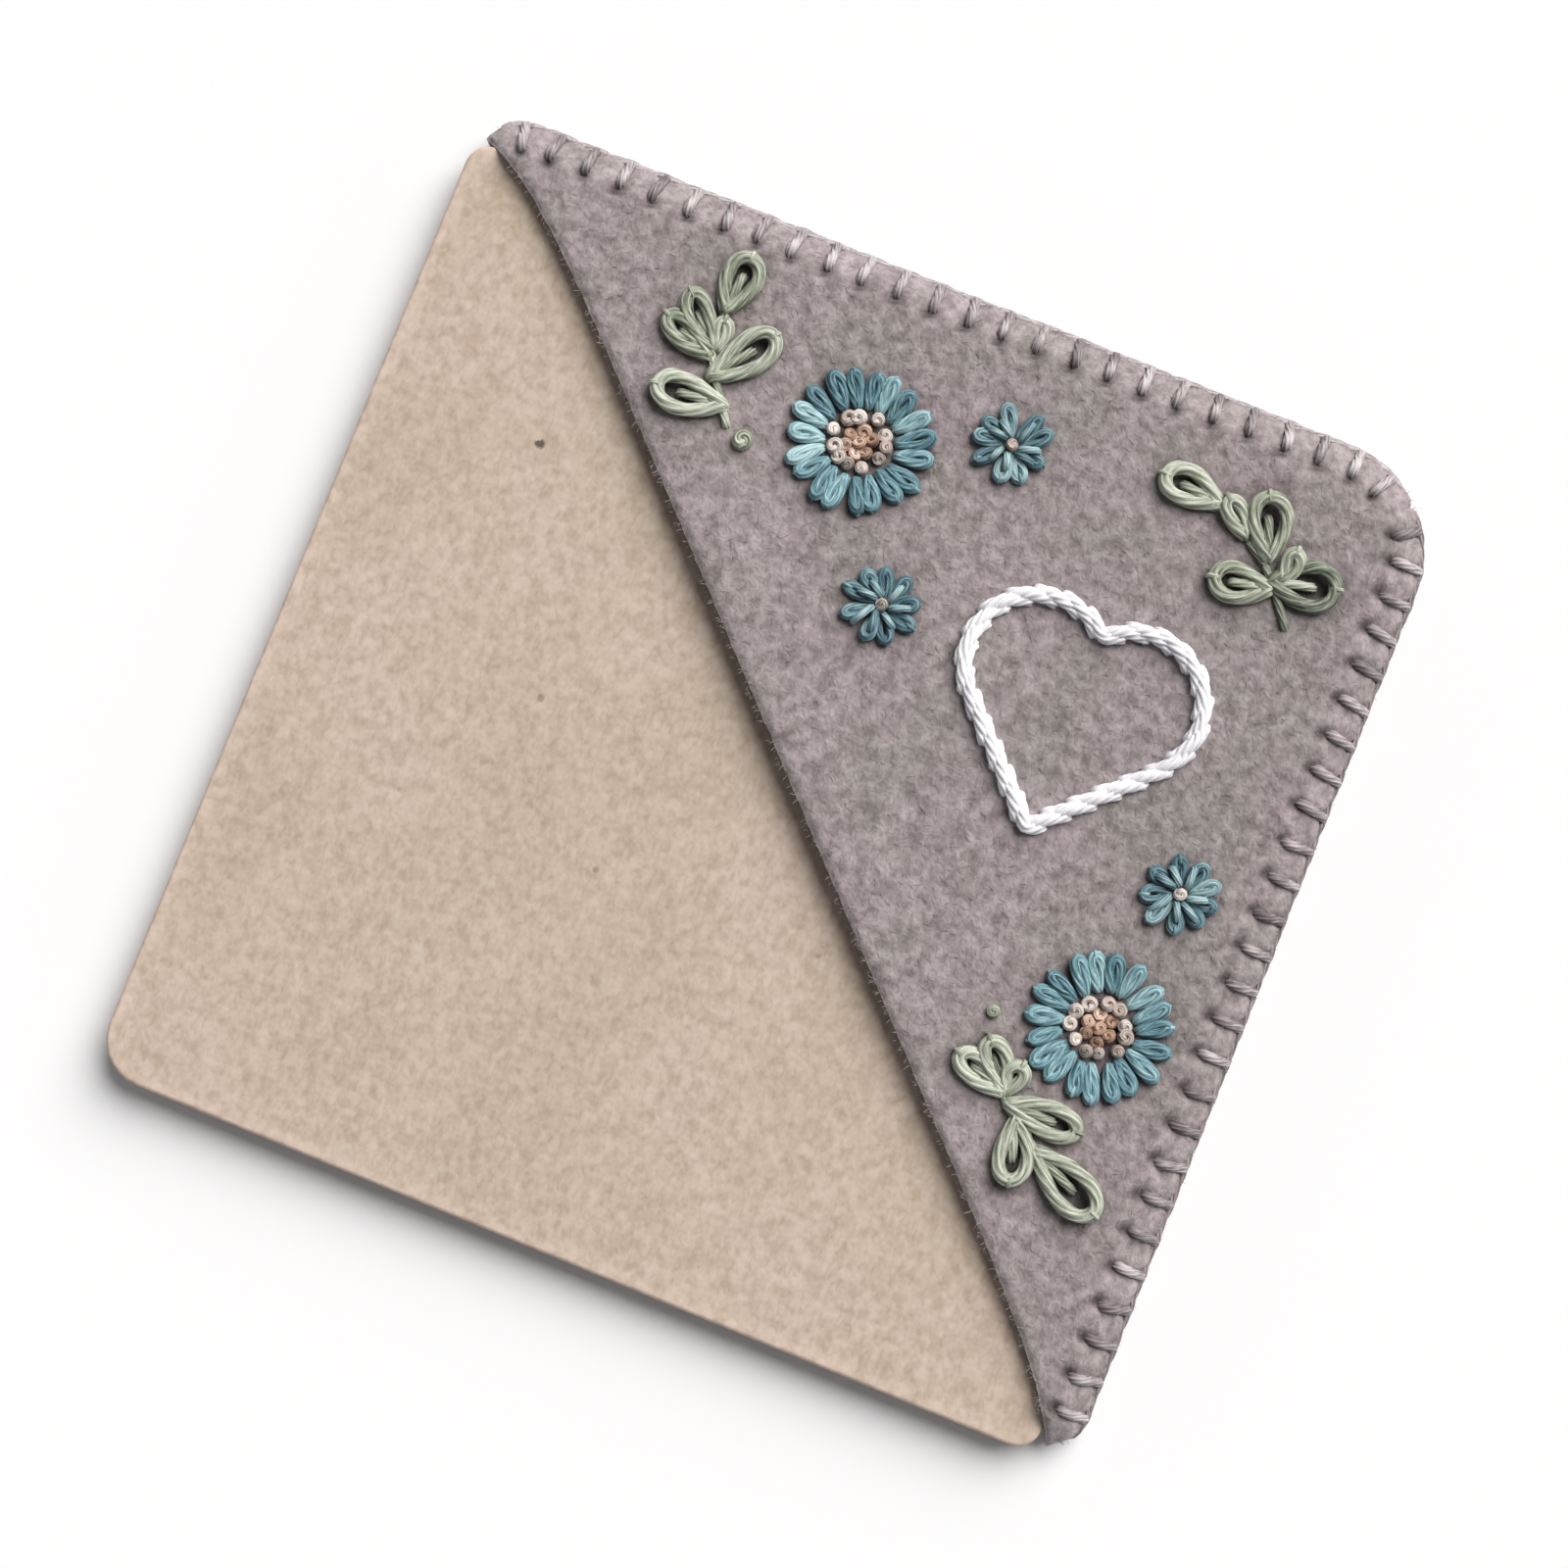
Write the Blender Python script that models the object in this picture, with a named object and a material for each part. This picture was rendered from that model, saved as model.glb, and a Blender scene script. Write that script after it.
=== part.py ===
"""Embroidered felt corner pocket with a kraft card in it, for pins, needles or a marked page.

Two felt triangles are joined by blanket stitch along two legs and open along the third side,
the mouth. The card slides in at the mouth until its corner meets the stitching.
The card's sides lie along X and Y, the pocket's corner points to +X +Y, and +Z is up.
"""

import math

import bmesh
import bpy
from mathutils import Matrix, Vector

MM = 0.001
ROOT2 = math.sqrt(2)

# Driving dimensions, in millimetres.
OVERALL = 85.0  # card and pocket together, along X and along Y
FELT = 1.2  # thickness of the craft felt
CARD = 1.5  # thickness of the kraft board
GAP = 0.3  # clearance between touching pieces
RIDGE = 0.8  # stitch thread standing outside the felt's edge
CARD_INSET = 2.5  # from the felt's stitched edge to the card's hidden edge
CORNER_R = 8.5  # felt, at the pocket's corner
TIP_R = 3.5  # felt, at the two ends of the mouth
CARD_OPEN_R = 4.0  # card, at the corner outside the pocket
CARD_TIP_R = 2.0  # card, at the mouth's two ends
CARD_R = 7.0  # card, at the corner inside the pocket
CARD_BEVEL = 0.25
GAPE = 1.1  # how far the middle of the mouth stands open

# Where the felt narrows from the pocket's face to the sewn rim, measured in from its edge.
RIM_FLAT = 1.0
RIM_RISE = 2.2

# The mouth runs this far past the card's diagonal, and drops back to it at both ends.
MOUTH_MIDDLE = 1.2
MOUTH_DROPS = (3.2, 2.6)  # of the edge towards the upper left end and the lower right end
MOUTH_POWER = 10

# Blanket stitch.
STITCH_PITCH = 3.05
STITCH_WIDTH = 0.8
STITCH_BITE = 2.1  # in from the felt's edge
STITCH_THICK = 0.5
TOP_LEG = (-36.0, 25)  # first stitch along the leg, and how many
SIDE_LEG = (-35.35, 25)

HALF = OVERALL / 2
FELT_EDGE = HALF - RIDGE
CARD_FAR = FELT_EDGE - CARD_INSET
CARD_Z = FELT + GAP
POCKET_Z = CARD_Z + CARD + GAP
RIM_Z = FELT + GAP
HALF_MOUTH = ROOT2 * FELT_EDGE - TIP_R * (ROOT2 - 1)

# Embroidery on the front, in millimetres from the middle of the overall square.
LARGE_FLOWERS = [(-3.8, 27.4), (31.5, -9.1)]
SMALL_FLOWERS = [(7.7, 31.7), (2.8, 15.8), (33.5, 3.2)]
BUDS = [(-12.6, 24.0), (23.2, -11.0)]
HEART_CENTRE = (20.2, 11.8)
HEART_HALF = 8.2  # half the diagonal of the square that the heart is drawn on
HEART_LINE = 2.0
HEART_THICK = 1.1
STEM_WIDTH = 1.0
STEM_THICK = 0.7
LEAF_THICK = 1.0

# Petal rings as (outer radius, radius between petals, radius of the hole, petals, thickness).
LARGE_PETALS = (6.2, 5.5, 3.0, 22, 1.0)
SMALL_PETALS = (3.5, 2.3, 1.15, 8, 0.8)
# Knots as (radius at the felt, radius on top, height).
LARGE_KNOTS = (2.7, 1.8, 1.3)
SMALL_KNOT = (0.85, 0.5, 1.0)
BUD_KNOT = (0.9, 0.5, 0.9)

# Each sprig is a stem through a few points, and leaves as (foot, tip, width).
SPRIGS = [
    (
        [(-14.2, 24.6), (-15.6, 26.6), (-16.9, 28.3), (-17.6, 30.0), (-17.9, 33.5)],
        [
            ((-17.9, 33.4), (-17.4, 38.6), 3.7),
            ((-17.7, 29.4), (-22.4, 31.4), 2.8),
            ((-17.7, 30.0), (-21.2, 34.0), 2.9),
            ((-17.5, 30.2), (-17.5, 33.0), 2.0),
            ((-16.9, 27.9), (-13.0, 33.2), 3.7),
            ((-15.1, 26.0), (-21.2, 25.6), 3.7),
        ],
    ),
    (
        [(24.9, 33.6), (28.2, 31.6), (30.1, 30.3), (31.4, 28.9), (33.5, 26.1)],
        [
            ((24.9, 33.5), (19.5, 34.2), 3.6),
            ((27.7, 32.0), (25.1, 34.5), 2.4),
            ((30.1, 30.9), (28.2, 36.0), 3.9),
            ((31.1, 28.5), (26.1, 27.8), 3.6),
            ((31.0, 29.2), (36.6, 30.6), 4.4),
            ((31.8, 29.8), (32.1, 32.6), 2.2),
        ],
    ),
    (
        [(26.2, -16.7), (27.2, -17.7), (28.9, -18.9), (30.3, -19.9), (31.4, -20.2)],
        [
            ((26.1, -16.7), (21.5, -14.9), 2.9),
            ((26.2, -16.7), (23.5, -12.8), 2.9),
            ((26.3, -16.5), (27.0, -13.7), 2.6),
            ((27.0, -17.3), (33.4, -17.4), 3.3),
            ((28.1, -18.2), (29.4, -23.5), 3.5),
            ((30.4, -20.0), (36.9, -23.1), 4.0),
        ],
    ),
]


def mouth_line(s):
    """Distance of the mouth's edge from the card's diagonal, at s along the diagonal."""
    drop = MOUTH_DROPS[s > 0] * abs(s / HALF_MOUTH) ** MOUTH_POWER
    return max((MOUTH_MIDDLE - drop) / ROOT2, -felt_outline(s))


def leg_line(s, inset):
    """Distance from the diagonal to the felt's two stitched edges and the corner between them."""
    radius = CORNER_R - inset
    if abs(s) <= radius / ROOT2:
        return ROOT2 * (FELT_EDGE - CORNER_R) + math.sqrt(radius**2 - s**2)
    return ROOT2 * (FELT_EDGE - inset) - abs(s)


def felt_outline(s):
    """The stitched edges again, rounded off at the two ends of the mouth."""
    past = abs(s) - ROOT2 * (FELT_EDGE - TIP_R)
    if past > TIP_R / ROOT2:
        return math.sqrt(max(TIP_R**2 - past**2, 0.0))
    return leg_line(s, 0.0)


def from_leg(x, y):
    """How far a point lies inside the stitched edges."""
    centre = FELT_EDGE - CORNER_R
    if x > centre and y > centre:
        return CORNER_R - math.hypot(x - centre, y - centre)
    return FELT_EDGE - max(x, y)


def felt_under(x, y):
    """Height of the front felt's lower face: domed at the mouth, pinched down at the rim."""
    s = (x - y) / ROOT2
    d = (x + y) / ROOT2
    near = mouth_line(s)
    far = max(leg_line(s, RIM_RISE), near + GAP)
    across = min(max((d - near) / (far - near), 0.0), 1.0)
    along = max(1 - (s / HALF_MOUTH) ** 2, 0.0) ** 1.3
    face = POCKET_Z + GAPE * along * (1 - across) ** 2
    rise = (from_leg(x, y) - RIM_FLAT) / (RIM_RISE - RIM_FLAT)
    return RIM_Z + (face - RIM_Z) * min(max(rise, 0.0), 1.0)


def felt_top(x, y):
    return felt_under(x, y) + FELT


def material(name, colour, roughness):
    made = bpy.data.materials.new(name)
    made.use_nodes = True
    shader = made.node_tree.nodes["Principled BSDF"]
    shader.inputs["Base Color"].default_value = (*colour, 1.0)
    shader.inputs["Roughness"].default_value = roughness
    shader.inputs["Metallic"].default_value = 0.0
    return made


def place(name, bm, finish, pivot, parent):
    """Makes a bmesh in millimetres an object in metres, with its origin on its parent's pivot."""
    bmesh.ops.recalc_face_normals(bm, faces=bm.faces)
    bmesh.ops.translate(bm, verts=bm.verts, vec=-Vector(pivot))
    bmesh.ops.scale(bm, verts=bm.verts, vec=(MM, MM, MM))
    mesh = bpy.data.meshes.new(name)
    bm.to_mesh(mesh)
    bm.free()
    mesh.shade_smooth()
    mesh.set_sharp_from_angle(angle=math.radians(35))
    piece = bpy.data.objects.new(name, mesh)
    piece.data.materials.append(finish)
    piece.parent = parent
    bpy.context.scene.collection.objects.link(piece)
    return piece


def thicken(bm, height):
    """Extrudes a flat or curved sheet straight up by height, the same everywhere."""
    raised = bmesh.ops.extrude_face_region(bm, geom=bm.faces[:], use_keep_orig=True)
    top = [v for v in raised["geom"] if isinstance(v, bmesh.types.BMVert)]
    bmesh.ops.translate(bm, verts=top, vec=(0, 0, height))
    return top


def drape(bm):
    """Lifts a motif that was drawn flat at z = 0 so that it follows the front felt."""
    for vert in bm.verts:
        vert.co.z += felt_top(vert.co.x, vert.co.y) + GAP


def rounded(x0, x1, y0, y1, radii, steps=8):
    """Outline of a rectangle with rounded corners, from the low X low Y corner onwards."""
    signs = [(-1, -1), (1, -1), (1, 1), (-1, 1)]
    points = []
    for (sx, sy), radius, start in zip(signs, radii, (180, 270, 0, 90)):
        cx = (x1 if sx > 0 else x0) - sx * radius
        cy = (y1 if sy > 0 else y0) - sy * radius
        for step in range(steps + 1):
            angle = math.radians(start + 90 * step / steps)
            points.append((cx + radius * math.cos(angle), cy + radius * math.sin(angle)))
    return points


def outline_face(bm, points, z):
    bm.faces.new([bm.verts.new((x, y, z)) for x, y in points])


def mouth_columns():
    """Stations along the diagonal, close together where the outline turns."""
    corner = [CORNER_R * math.sin(math.radians(a)) for a in (0, 15, 30)]
    first = CORNER_R / ROOT2
    last = ROOT2 * (FELT_EDGE - TIP_R)
    straight = [first + (last - first) * k / 11 for k in range(12)]
    tip = [last + TIP_R * math.sin(math.radians(a)) for a in (25, 40, 52, 64, 74, 82)]
    half = corner + straight + tip
    return [-s for s in reversed(half[1:])] + half


def turn_back(s, d):
    """From along and across the diagonal to X and Y."""
    return (d + s) / ROOT2, (d - s) / ROOT2


def kraft_card(finish, parent, pivot):
    bm = bmesh.new()
    radii = (CARD_OPEN_R, CARD_TIP_R, CARD_R, CARD_TIP_R)
    outline_face(bm, rounded(-HALF, CARD_FAR, -HALF, CARD_FAR, radii), CARD_Z)
    thicken(bm, CARD)
    caps = [e for e in bm.edges if any(len(f.verts) > 4 for f in e.link_faces)]
    bmesh.ops.bevel(
        bm, geom=caps, offset=CARD_BEVEL, segments=2, profile=0.5, affect="EDGES", material=-1
    )
    place("kraft_card", bm, finish, pivot, parent)


def back_felt(finish, parent, pivot):
    bm = bmesh.new()
    columns = mouth_columns()
    points = [turn_back(s, felt_outline(s)) for s in columns]
    points += [turn_back(s, mouth_line(s)) for s in reversed(columns)]
    outline_face(bm, points, 0.0)
    thicken(bm, FELT)
    place("back_felt", bm, finish, pivot, parent)


def front_felt(finish, parent, pivot):
    columns = mouth_columns()
    inner_rows = 7
    rows = inner_rows + 2
    bm = bmesh.new()
    bmesh.ops.create_grid(bm, x_segments=len(columns) - 1, y_segments=rows, size=1.0)
    for vert in bm.verts:
        s = columns[round((vert.co.x + 1) / 2 * (len(columns) - 1))]
        row = round((vert.co.y + 1) / 2 * rows)
        near = mouth_line(s)
        far = felt_outline(s)
        inner = max(leg_line(s, RIM_RISE), near + 0.4 * (far - near))
        rim = min(leg_line(s, RIM_FLAT), inner + 0.6 * (far - inner))
        rim = max(rim, inner + 0.3 * (far - inner))
        if row <= inner_rows:
            d = near + (inner - near) * row / inner_rows
        else:
            d = (rim, far)[row - inner_rows - 1]
        x, y = turn_back(s, d)
        vert.co = (x, y, felt_under(x, y))
    thicken(bm, FELT)
    place("front_felt", bm, finish, pivot, parent)


def rim_point(along, inset):
    """A point of the stitched rim: along the top leg, then round the corner to its middle."""
    centre = FELT_EDGE - CORNER_R
    if along <= centre:
        return along, FELT_EDGE - inset
    angle = (along - centre) / CORNER_R
    reach = CORNER_R - inset
    return centre + reach * math.sin(angle), centre + reach * math.cos(angle)


def blanket_stitch(name, first, count, side, finish, parent, pivot):
    """A ridge of thread outside the felt's edge with a row of bites over the rim, in one body."""
    columns = []
    for k in range(count):
        at = first + k * STITCH_PITCH
        columns += [at - STITCH_WIDTH / 2, at + STITCH_WIDTH / 2]
    over = RIM_Z + FELT + GAP
    slope = (POCKET_Z - RIM_Z) * (STITCH_BITE - RIM_FLAT) / (RIM_RISE - RIM_FLAT)
    # (inset from the felt's edge, lower face, upper face), from the ridge inwards
    rows = [
        (-RIDGE, 1.0, 2.0),
        (-GAP - 0.05, 0.8, over + 0.3),
        (-GAP, over, over + STITCH_THICK),
        (0.0, over, over + STITCH_THICK),
        (RIM_FLAT, over, over + STITCH_THICK),
        (STITCH_BITE, over + slope, over + slope + STITCH_THICK),
    ]
    bm = bmesh.new()
    last_x, last_y = len(columns) - 1, len(rows) - 1
    bmesh.ops.create_grid(bm, x_segments=last_x, y_segments=last_y, size=1.0)
    spare = []
    for face in bm.faces:
        middle = face.calc_center_median()
        between = int((middle.x + 1) / 2 * last_x) % 2 == 1
        inside = (middle.y + 1) / 2 * last_y > 1
        if between and inside:
            spare.append(face)
    bmesh.ops.delete(bm, geom=spare, context="FACES")
    seats = {}
    for vert in bm.verts:
        along = columns[round((vert.co.x + 1) / 2 * last_x)]
        inset, low, high = rows[round((vert.co.y + 1) / 2 * last_y)]
        x, y = rim_point(along, inset)
        vert.co = (x, y, low) if not side else (y, x, low)
        seats[(round(vert.co.x, 4), round(vert.co.y, 4))] = high
    for vert in thicken(bm, STITCH_THICK):
        vert.co.z = seats[(round(vert.co.x, 4), round(vert.co.y, 4))]
    place(name, bm, finish, pivot, parent)


def ring(bm, centre, outer, inner, count):
    """A flat ring of quads, whose outer and inner radii are functions of the step."""
    loops = []
    for radius in (outer, inner):
        verts = []
        for step in range(count):
            angle = 2 * math.pi * step / count
            x = centre[0] + radius(step) * math.cos(angle)
            y = centre[1] + radius(step) * math.sin(angle)
            verts.append(bm.verts.new((x, y, 0)))
        loops.append([bm.edges.new((a, b)) for a, b in zip(verts, verts[1:] + verts[:1])])
    bmesh.ops.bridge_loops(bm, edges=loops[0] + loops[1])


def petals(name, centre, size, finish, parent, pivot):
    radius, valley, hole, count, thick = size
    bm = bmesh.new()
    ring(bm, centre, lambda k: radius if k % 2 else valley, lambda k: hole, 2 * count)
    thicken(bm, thick)
    drape(bm)
    place(name, bm, finish, pivot, parent)


def knot(name, centre, size, finish, parent, pivot):
    """A low round mound, for a French knot or a cluster of them."""
    foot, crown, height = size
    bm = bmesh.new()
    bmesh.ops.create_cone(
        bm, cap_ends=True, segments=14, radius1=foot, radius2=crown, depth=height
    )
    bmesh.ops.translate(bm, verts=bm.verts, vec=(*centre, height / 2))
    drape(bm)
    place(name, bm, finish, pivot, parent)


def heart_path():
    """A square on its corner with a half circle on each upper side, as points in order."""
    q = HEART_HALF
    points = []
    for step in range(11):
        angle = math.radians(135 - 18 * step)
        x = q / 2 + q / ROOT2 * math.cos(angle)
        y = q / 2 + q / ROOT2 * math.sin(angle)
        points.append((x, y))
    points += [(q * (1 - k / 4), -q * k / 4) for k in range(1, 5)]
    mirrored = [(-x, y) for x, y in reversed(points[1:-1])]
    return points + mirrored


def heart(finish, parent, pivot):
    path = [Vector(p) + Vector(HEART_CENTRE) for p in heart_path()]
    bm = bmesh.new()
    loops = [[], []]
    for k, here in enumerate(path):
        before = (here - path[k - 1]).normalized().orthogonal()
        after = (path[(k + 1) % len(path)] - here).normalized().orthogonal()
        mitre = (before + after) / (1 + before.dot(after)) * HEART_LINE / 2
        for loop, sign in zip(loops, (1, -1)):
            loop.append(bm.verts.new((*(here + sign * mitre), 0)))
    edges = [bm.edges.new(p) for loop in loops for p in zip(loop, loop[1:] + loop[:1])]
    bmesh.ops.bridge_loops(bm, edges=edges)
    thicken(bm, HEART_THICK)
    drape(bm)
    place("heart_outline", bm, finish, pivot, parent)


def sprig(number, stem, leaves, finish, parent, pivot):
    """A stem and its leaves, joined into one body with Boolean unions."""
    bm = bmesh.new()
    sides = [[], []]
    for k, point in enumerate(stem):
        before = Vector(stem[max(k - 1, 0)])
        after = Vector(stem[min(k + 1, len(stem) - 1)])
        across = (after - before).normalized().orthogonal() * STEM_WIDTH / 2
        sides[0].append(bm.verts.new((*(Vector(point) + across), 0)))
        sides[1].append(bm.verts.new((*(Vector(point) - across), 0)))
    for k in range(len(stem) - 1):
        bm.faces.new((sides[0][k], sides[0][k + 1], sides[1][k + 1], sides[1][k]))
    thicken(bm, STEM_THICK)
    drape(bm)
    body = place(f"leaf_sprig_{number}", bm, finish, pivot, parent)
    for index, (foot, tip, width) in enumerate(leaves):
        run = Vector(tip) - Vector(foot)
        bm = bmesh.new()
        bmesh.ops.create_uvsphere(bm, u_segments=10, v_segments=6, radius=1.0)
        bmesh.ops.scale(bm, verts=bm.verts, vec=(run.length / 2, width / 2, LEAF_THICK / 2))
        turn = Matrix.Rotation(math.atan2(run.y, run.x), 3, "Z")
        bmesh.ops.rotate(bm, verts=bm.verts, matrix=turn)
        middle = (Vector(tip) + Vector(foot)) / 2
        # Each leaf sits a hair higher than the last, so that no two have faces in one plane.
        lift = LEAF_THICK / 2 + 0.02 * index
        bmesh.ops.translate(bm, verts=bm.verts, vec=(*middle, lift))
        drape(bm)
        leaf = place(f"leaf_{number}_{index + 1}_join", bm, finish, pivot, parent)
        leaf.hide_render = True
        leaf.display_type = "WIRE"
        union = body.modifiers.new(f"leaf_{index + 1}", "BOOLEAN")
        union.operation = "UNION"
        union.solver = "EXACT"
        union.object = leaf


def pivot_empty(name, pivot):
    empty = bpy.data.objects.new(name, None)
    empty.location = Vector(pivot) * MM
    bpy.context.scene.collection.objects.link(empty)
    return empty


def main():
    for old in list(bpy.data.objects):
        bpy.data.objects.remove(old, do_unlink=True)

    felt = material("taupe_craft_felt", (0.33, 0.29, 0.29), 0.95)
    thread = material("taupe_stranded_cotton", (0.38, 0.33, 0.33), 0.75)
    kraft = material("kraft_board", (0.62, 0.53, 0.42), 0.85)
    teal = material("teal_stranded_cotton", (0.11, 0.31, 0.37), 0.6)
    blush = material("blush_stranded_cotton", (0.58, 0.34, 0.26), 0.65)
    sage = material("sage_stranded_cotton", (0.39, 0.45, 0.32), 0.65)
    white = material("white_stranded_cotton", (0.86, 0.84, 0.90), 0.55)

    middle = (0.0, 0.0, 0.0)
    pocket = pivot_empty("pocket_frame", middle)
    # The card slides on an axis through the middle of its thickness, along the diagonal.
    slide_axis = (0.0, 0.0, CARD_Z + CARD / 2)
    slide = pivot_empty("card_slide", slide_axis)

    kraft_card(kraft, slide, slide_axis)
    back_felt(felt, pocket, middle)
    front_felt(felt, pocket, middle)
    blanket_stitch("blanket_stitch_top_leg", *TOP_LEG, False, thread, pocket, middle)
    blanket_stitch("blanket_stitch_side_leg", *SIDE_LEG, True, thread, pocket, middle)
    for k, centre in enumerate(LARGE_FLOWERS, 1):
        petals(f"large_flower_{k}_petals", centre, LARGE_PETALS, teal, pocket, middle)
        knot(f"large_flower_{k}_knots", centre, LARGE_KNOTS, blush, pocket, middle)
    for k, centre in enumerate(SMALL_FLOWERS, 1):
        petals(f"small_flower_{k}_petals", centre, SMALL_PETALS, teal, pocket, middle)
        knot(f"small_flower_{k}_knot", centre, SMALL_KNOT, blush, pocket, middle)
    for k, (stem, leaves) in enumerate(SPRIGS, 1):
        sprig(k, stem, leaves, sage, pocket, middle)
    for k, centre in enumerate(BUDS, 1):
        knot(f"bud_knot_{k}", centre, BUD_KNOT, sage, pocket, middle)
    heart(white, pocket, middle)


main()
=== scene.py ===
import math
import random

import bmesh
import bpy
from mathutils import Matrix, Vector, kdtree, noise
from mathutils.bvhtree import BVHTree


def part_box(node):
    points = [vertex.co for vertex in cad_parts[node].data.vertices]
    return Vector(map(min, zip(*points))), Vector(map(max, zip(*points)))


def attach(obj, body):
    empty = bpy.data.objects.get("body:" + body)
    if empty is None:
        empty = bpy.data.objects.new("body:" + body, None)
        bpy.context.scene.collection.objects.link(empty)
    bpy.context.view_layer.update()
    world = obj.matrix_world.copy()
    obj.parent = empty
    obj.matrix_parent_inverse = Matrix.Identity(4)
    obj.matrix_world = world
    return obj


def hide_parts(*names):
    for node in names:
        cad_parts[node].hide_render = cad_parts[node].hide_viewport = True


# %% [markdown]
# # An embroidered felt needle case with a kraft card
#
# A corner pocket is two felt triangles joined by blanket stitch along two sides. A square kraft card
# slides in at the open side. Flowers, leaf sprigs and a heart are worked in stranded cotton on the
# front. Every piece here is real stitched thread, felt or board with its true thickness, so it looks
# right from the side and when the card slides out, which a flat picture of embroidery would not.

# %% Load the frame and note its size
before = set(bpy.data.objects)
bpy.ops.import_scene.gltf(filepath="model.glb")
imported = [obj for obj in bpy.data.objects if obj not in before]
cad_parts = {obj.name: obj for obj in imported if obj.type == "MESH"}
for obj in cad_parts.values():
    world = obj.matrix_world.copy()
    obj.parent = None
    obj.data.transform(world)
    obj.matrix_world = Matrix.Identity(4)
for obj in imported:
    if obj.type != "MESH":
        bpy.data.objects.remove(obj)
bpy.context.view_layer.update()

# %% [markdown]
# ## The shared measures
#
# The pocket and the card are solids in the frame, and the looks have to sit on them. The shapes come
# from the same few measures, in millimetres, and the outlines follow from them. `along` runs along the
# card's diagonal, and `across` runs from the diagonal towards the stitched corner.

# %% Measures of the felt, the card and the stitches, in millimetres
MM = 0.001
ROOT2 = math.sqrt(2)
SEED = 7

card_low, card_high = [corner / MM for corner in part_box("kraft_card")]
felt_low, felt_high = [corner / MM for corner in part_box("front_felt")]
FELT_EDGE = felt_high.x
CARD_BOTTOM = card_low.z
CARD_TOP = card_high.z
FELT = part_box("back_felt")[1].z / MM  # thickness of the felt

CORNER_R = 8.5  # felt, at the pocket's corner
TIP_R = 3.5  # felt, at the two ends of the mouth
CARD_OPEN_R = 4.0  # card, at its open corner
CARD_TIP_R = 2.0  # card, at the mouth's two ends
CARD_R = 7.0  # card, inside the pocket
GAPE = 1.1  # how far the middle of the mouth stands open
MOUTH_MIDDLE = 1.2  # how far x + y is past the diagonal in the middle of the mouth
MOUTH_DROPS = (3.2, 2.6)  # of the edge towards the upper left end and the lower right end
MOUTH_POWER = 10
HALF_MOUTH = ROOT2 * FELT_EDGE - TIP_R * (ROOT2 - 1)
CENTRE = FELT_EDGE - CORNER_R  # where the straight edges turn into the corner
TIP_CENTRE = FELT_EDGE - TIP_R  # and where they turn into the mouth's two ends
print("felt", round(FELT, 2), "card", round(CARD_TOP - CARD_BOTTOM, 2), "mouth", round(2 * HALF_MOUTH, 1))


# %% Outlines of the felt
def mouth_line(along):
    """How far the mouth's edge lies across from the diagonal."""
    drop = MOUTH_DROPS[along > 0] * abs(along / HALF_MOUTH) ** MOUTH_POWER
    return max((MOUTH_MIDDLE - drop) / ROOT2, -felt_outline(along))


def leg_line(along, inset):
    """How far the stitched edges lie across from the diagonal."""
    radius = CORNER_R - inset
    if abs(along) <= radius / ROOT2:
        return ROOT2 * CENTRE + math.sqrt(radius**2 - along**2)
    return ROOT2 * (FELT_EDGE - inset) - abs(along)


def felt_outline(along):
    """The stitched edges with the two ends of the mouth rounded off."""
    past = abs(along) - ROOT2 * (FELT_EDGE - TIP_R)
    if past > TIP_R / ROOT2:
        return math.sqrt(max(TIP_R**2 - past**2, 0.0))
    return leg_line(along, 0.0)


def from_leg(x, y):
    """How far a point lies inside the stitched edges, and the way out to them."""
    step, far = min(x, y), max(x, y)
    if step > CENTRE:
        out_way = Vector((x - CENTRE, y - CENTRE))
        return CORNER_R - out_way.length, out_way.normalized()
    if step < -TIP_CENTRE:
        out_way = Vector((step + TIP_CENTRE, far - TIP_CENTRE))
        inset = TIP_R - out_way.length
        out_way = out_way if y > x else out_way.yx
        return inset, out_way.normalized()
    return FELT_EDGE - far, Vector((0, 1)) if y > x else Vector((1, 0))


def to_diagonal(x, y):
    """Turns x and y into along and across."""
    return (x - y) / ROOT2, (x + y) / ROOT2


def from_diagonal(along, across):
    """Turns along and across into x and y."""
    return (across + along) / ROOT2, (across - along) / ROOT2


def rim_point(step, inset, side):
    """A point of the stitched rim, from the mouth's end along the leg and round half the corner."""
    x, y = step, FELT_EDGE - inset
    if step > CENTRE:
        angle = (step - CENTRE) / CORNER_R
        x = CENTRE + (CORNER_R - inset) * math.sin(angle)
        y = CENTRE + (CORNER_R - inset) * math.cos(angle)
    if step < -TIP_CENTRE:
        angle = (-TIP_CENTRE - step) / TIP_R
        x = -TIP_CENTRE - (TIP_R - inset) * math.sin(angle)
        y = TIP_CENTRE + (TIP_R - inset) * math.cos(angle)
    return (y, x) if side else (x, y)


def smooth(value):
    """Eases from 0 to 1 as value goes from 0 to 1."""
    value = min(max(value, 0.0), 1.0)
    return value * value * (3 - 2 * value)


print("mouth middle", round(mouth_line(0), 2), "corner", round(felt_outline(0), 2))

# %% [markdown]
# ## Helpers for colours and nodes
#
# The materials and the room's light are built with small functions: one turns a hex colour, as a maker
# would pick it, into the linear values that a shader wants, and one adds a node with its settings and
# its links in a single call. Every material starts from the Principled shader, whose constants are set
# on its own sockets.


# %% Colour and node helpers
def colour(hex_code):
    """An sRGB hex colour as linear red, green, blue and alpha."""
    parts = [int(hex_code[k : k + 2], 16) / 255 for k in (1, 3, 5)]
    linear = [c / 12.92 if c <= 0.04045 else ((c + 0.055) / 1.055) ** 2.4 for c in parts]
    return (*linear, 1.0)


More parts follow.
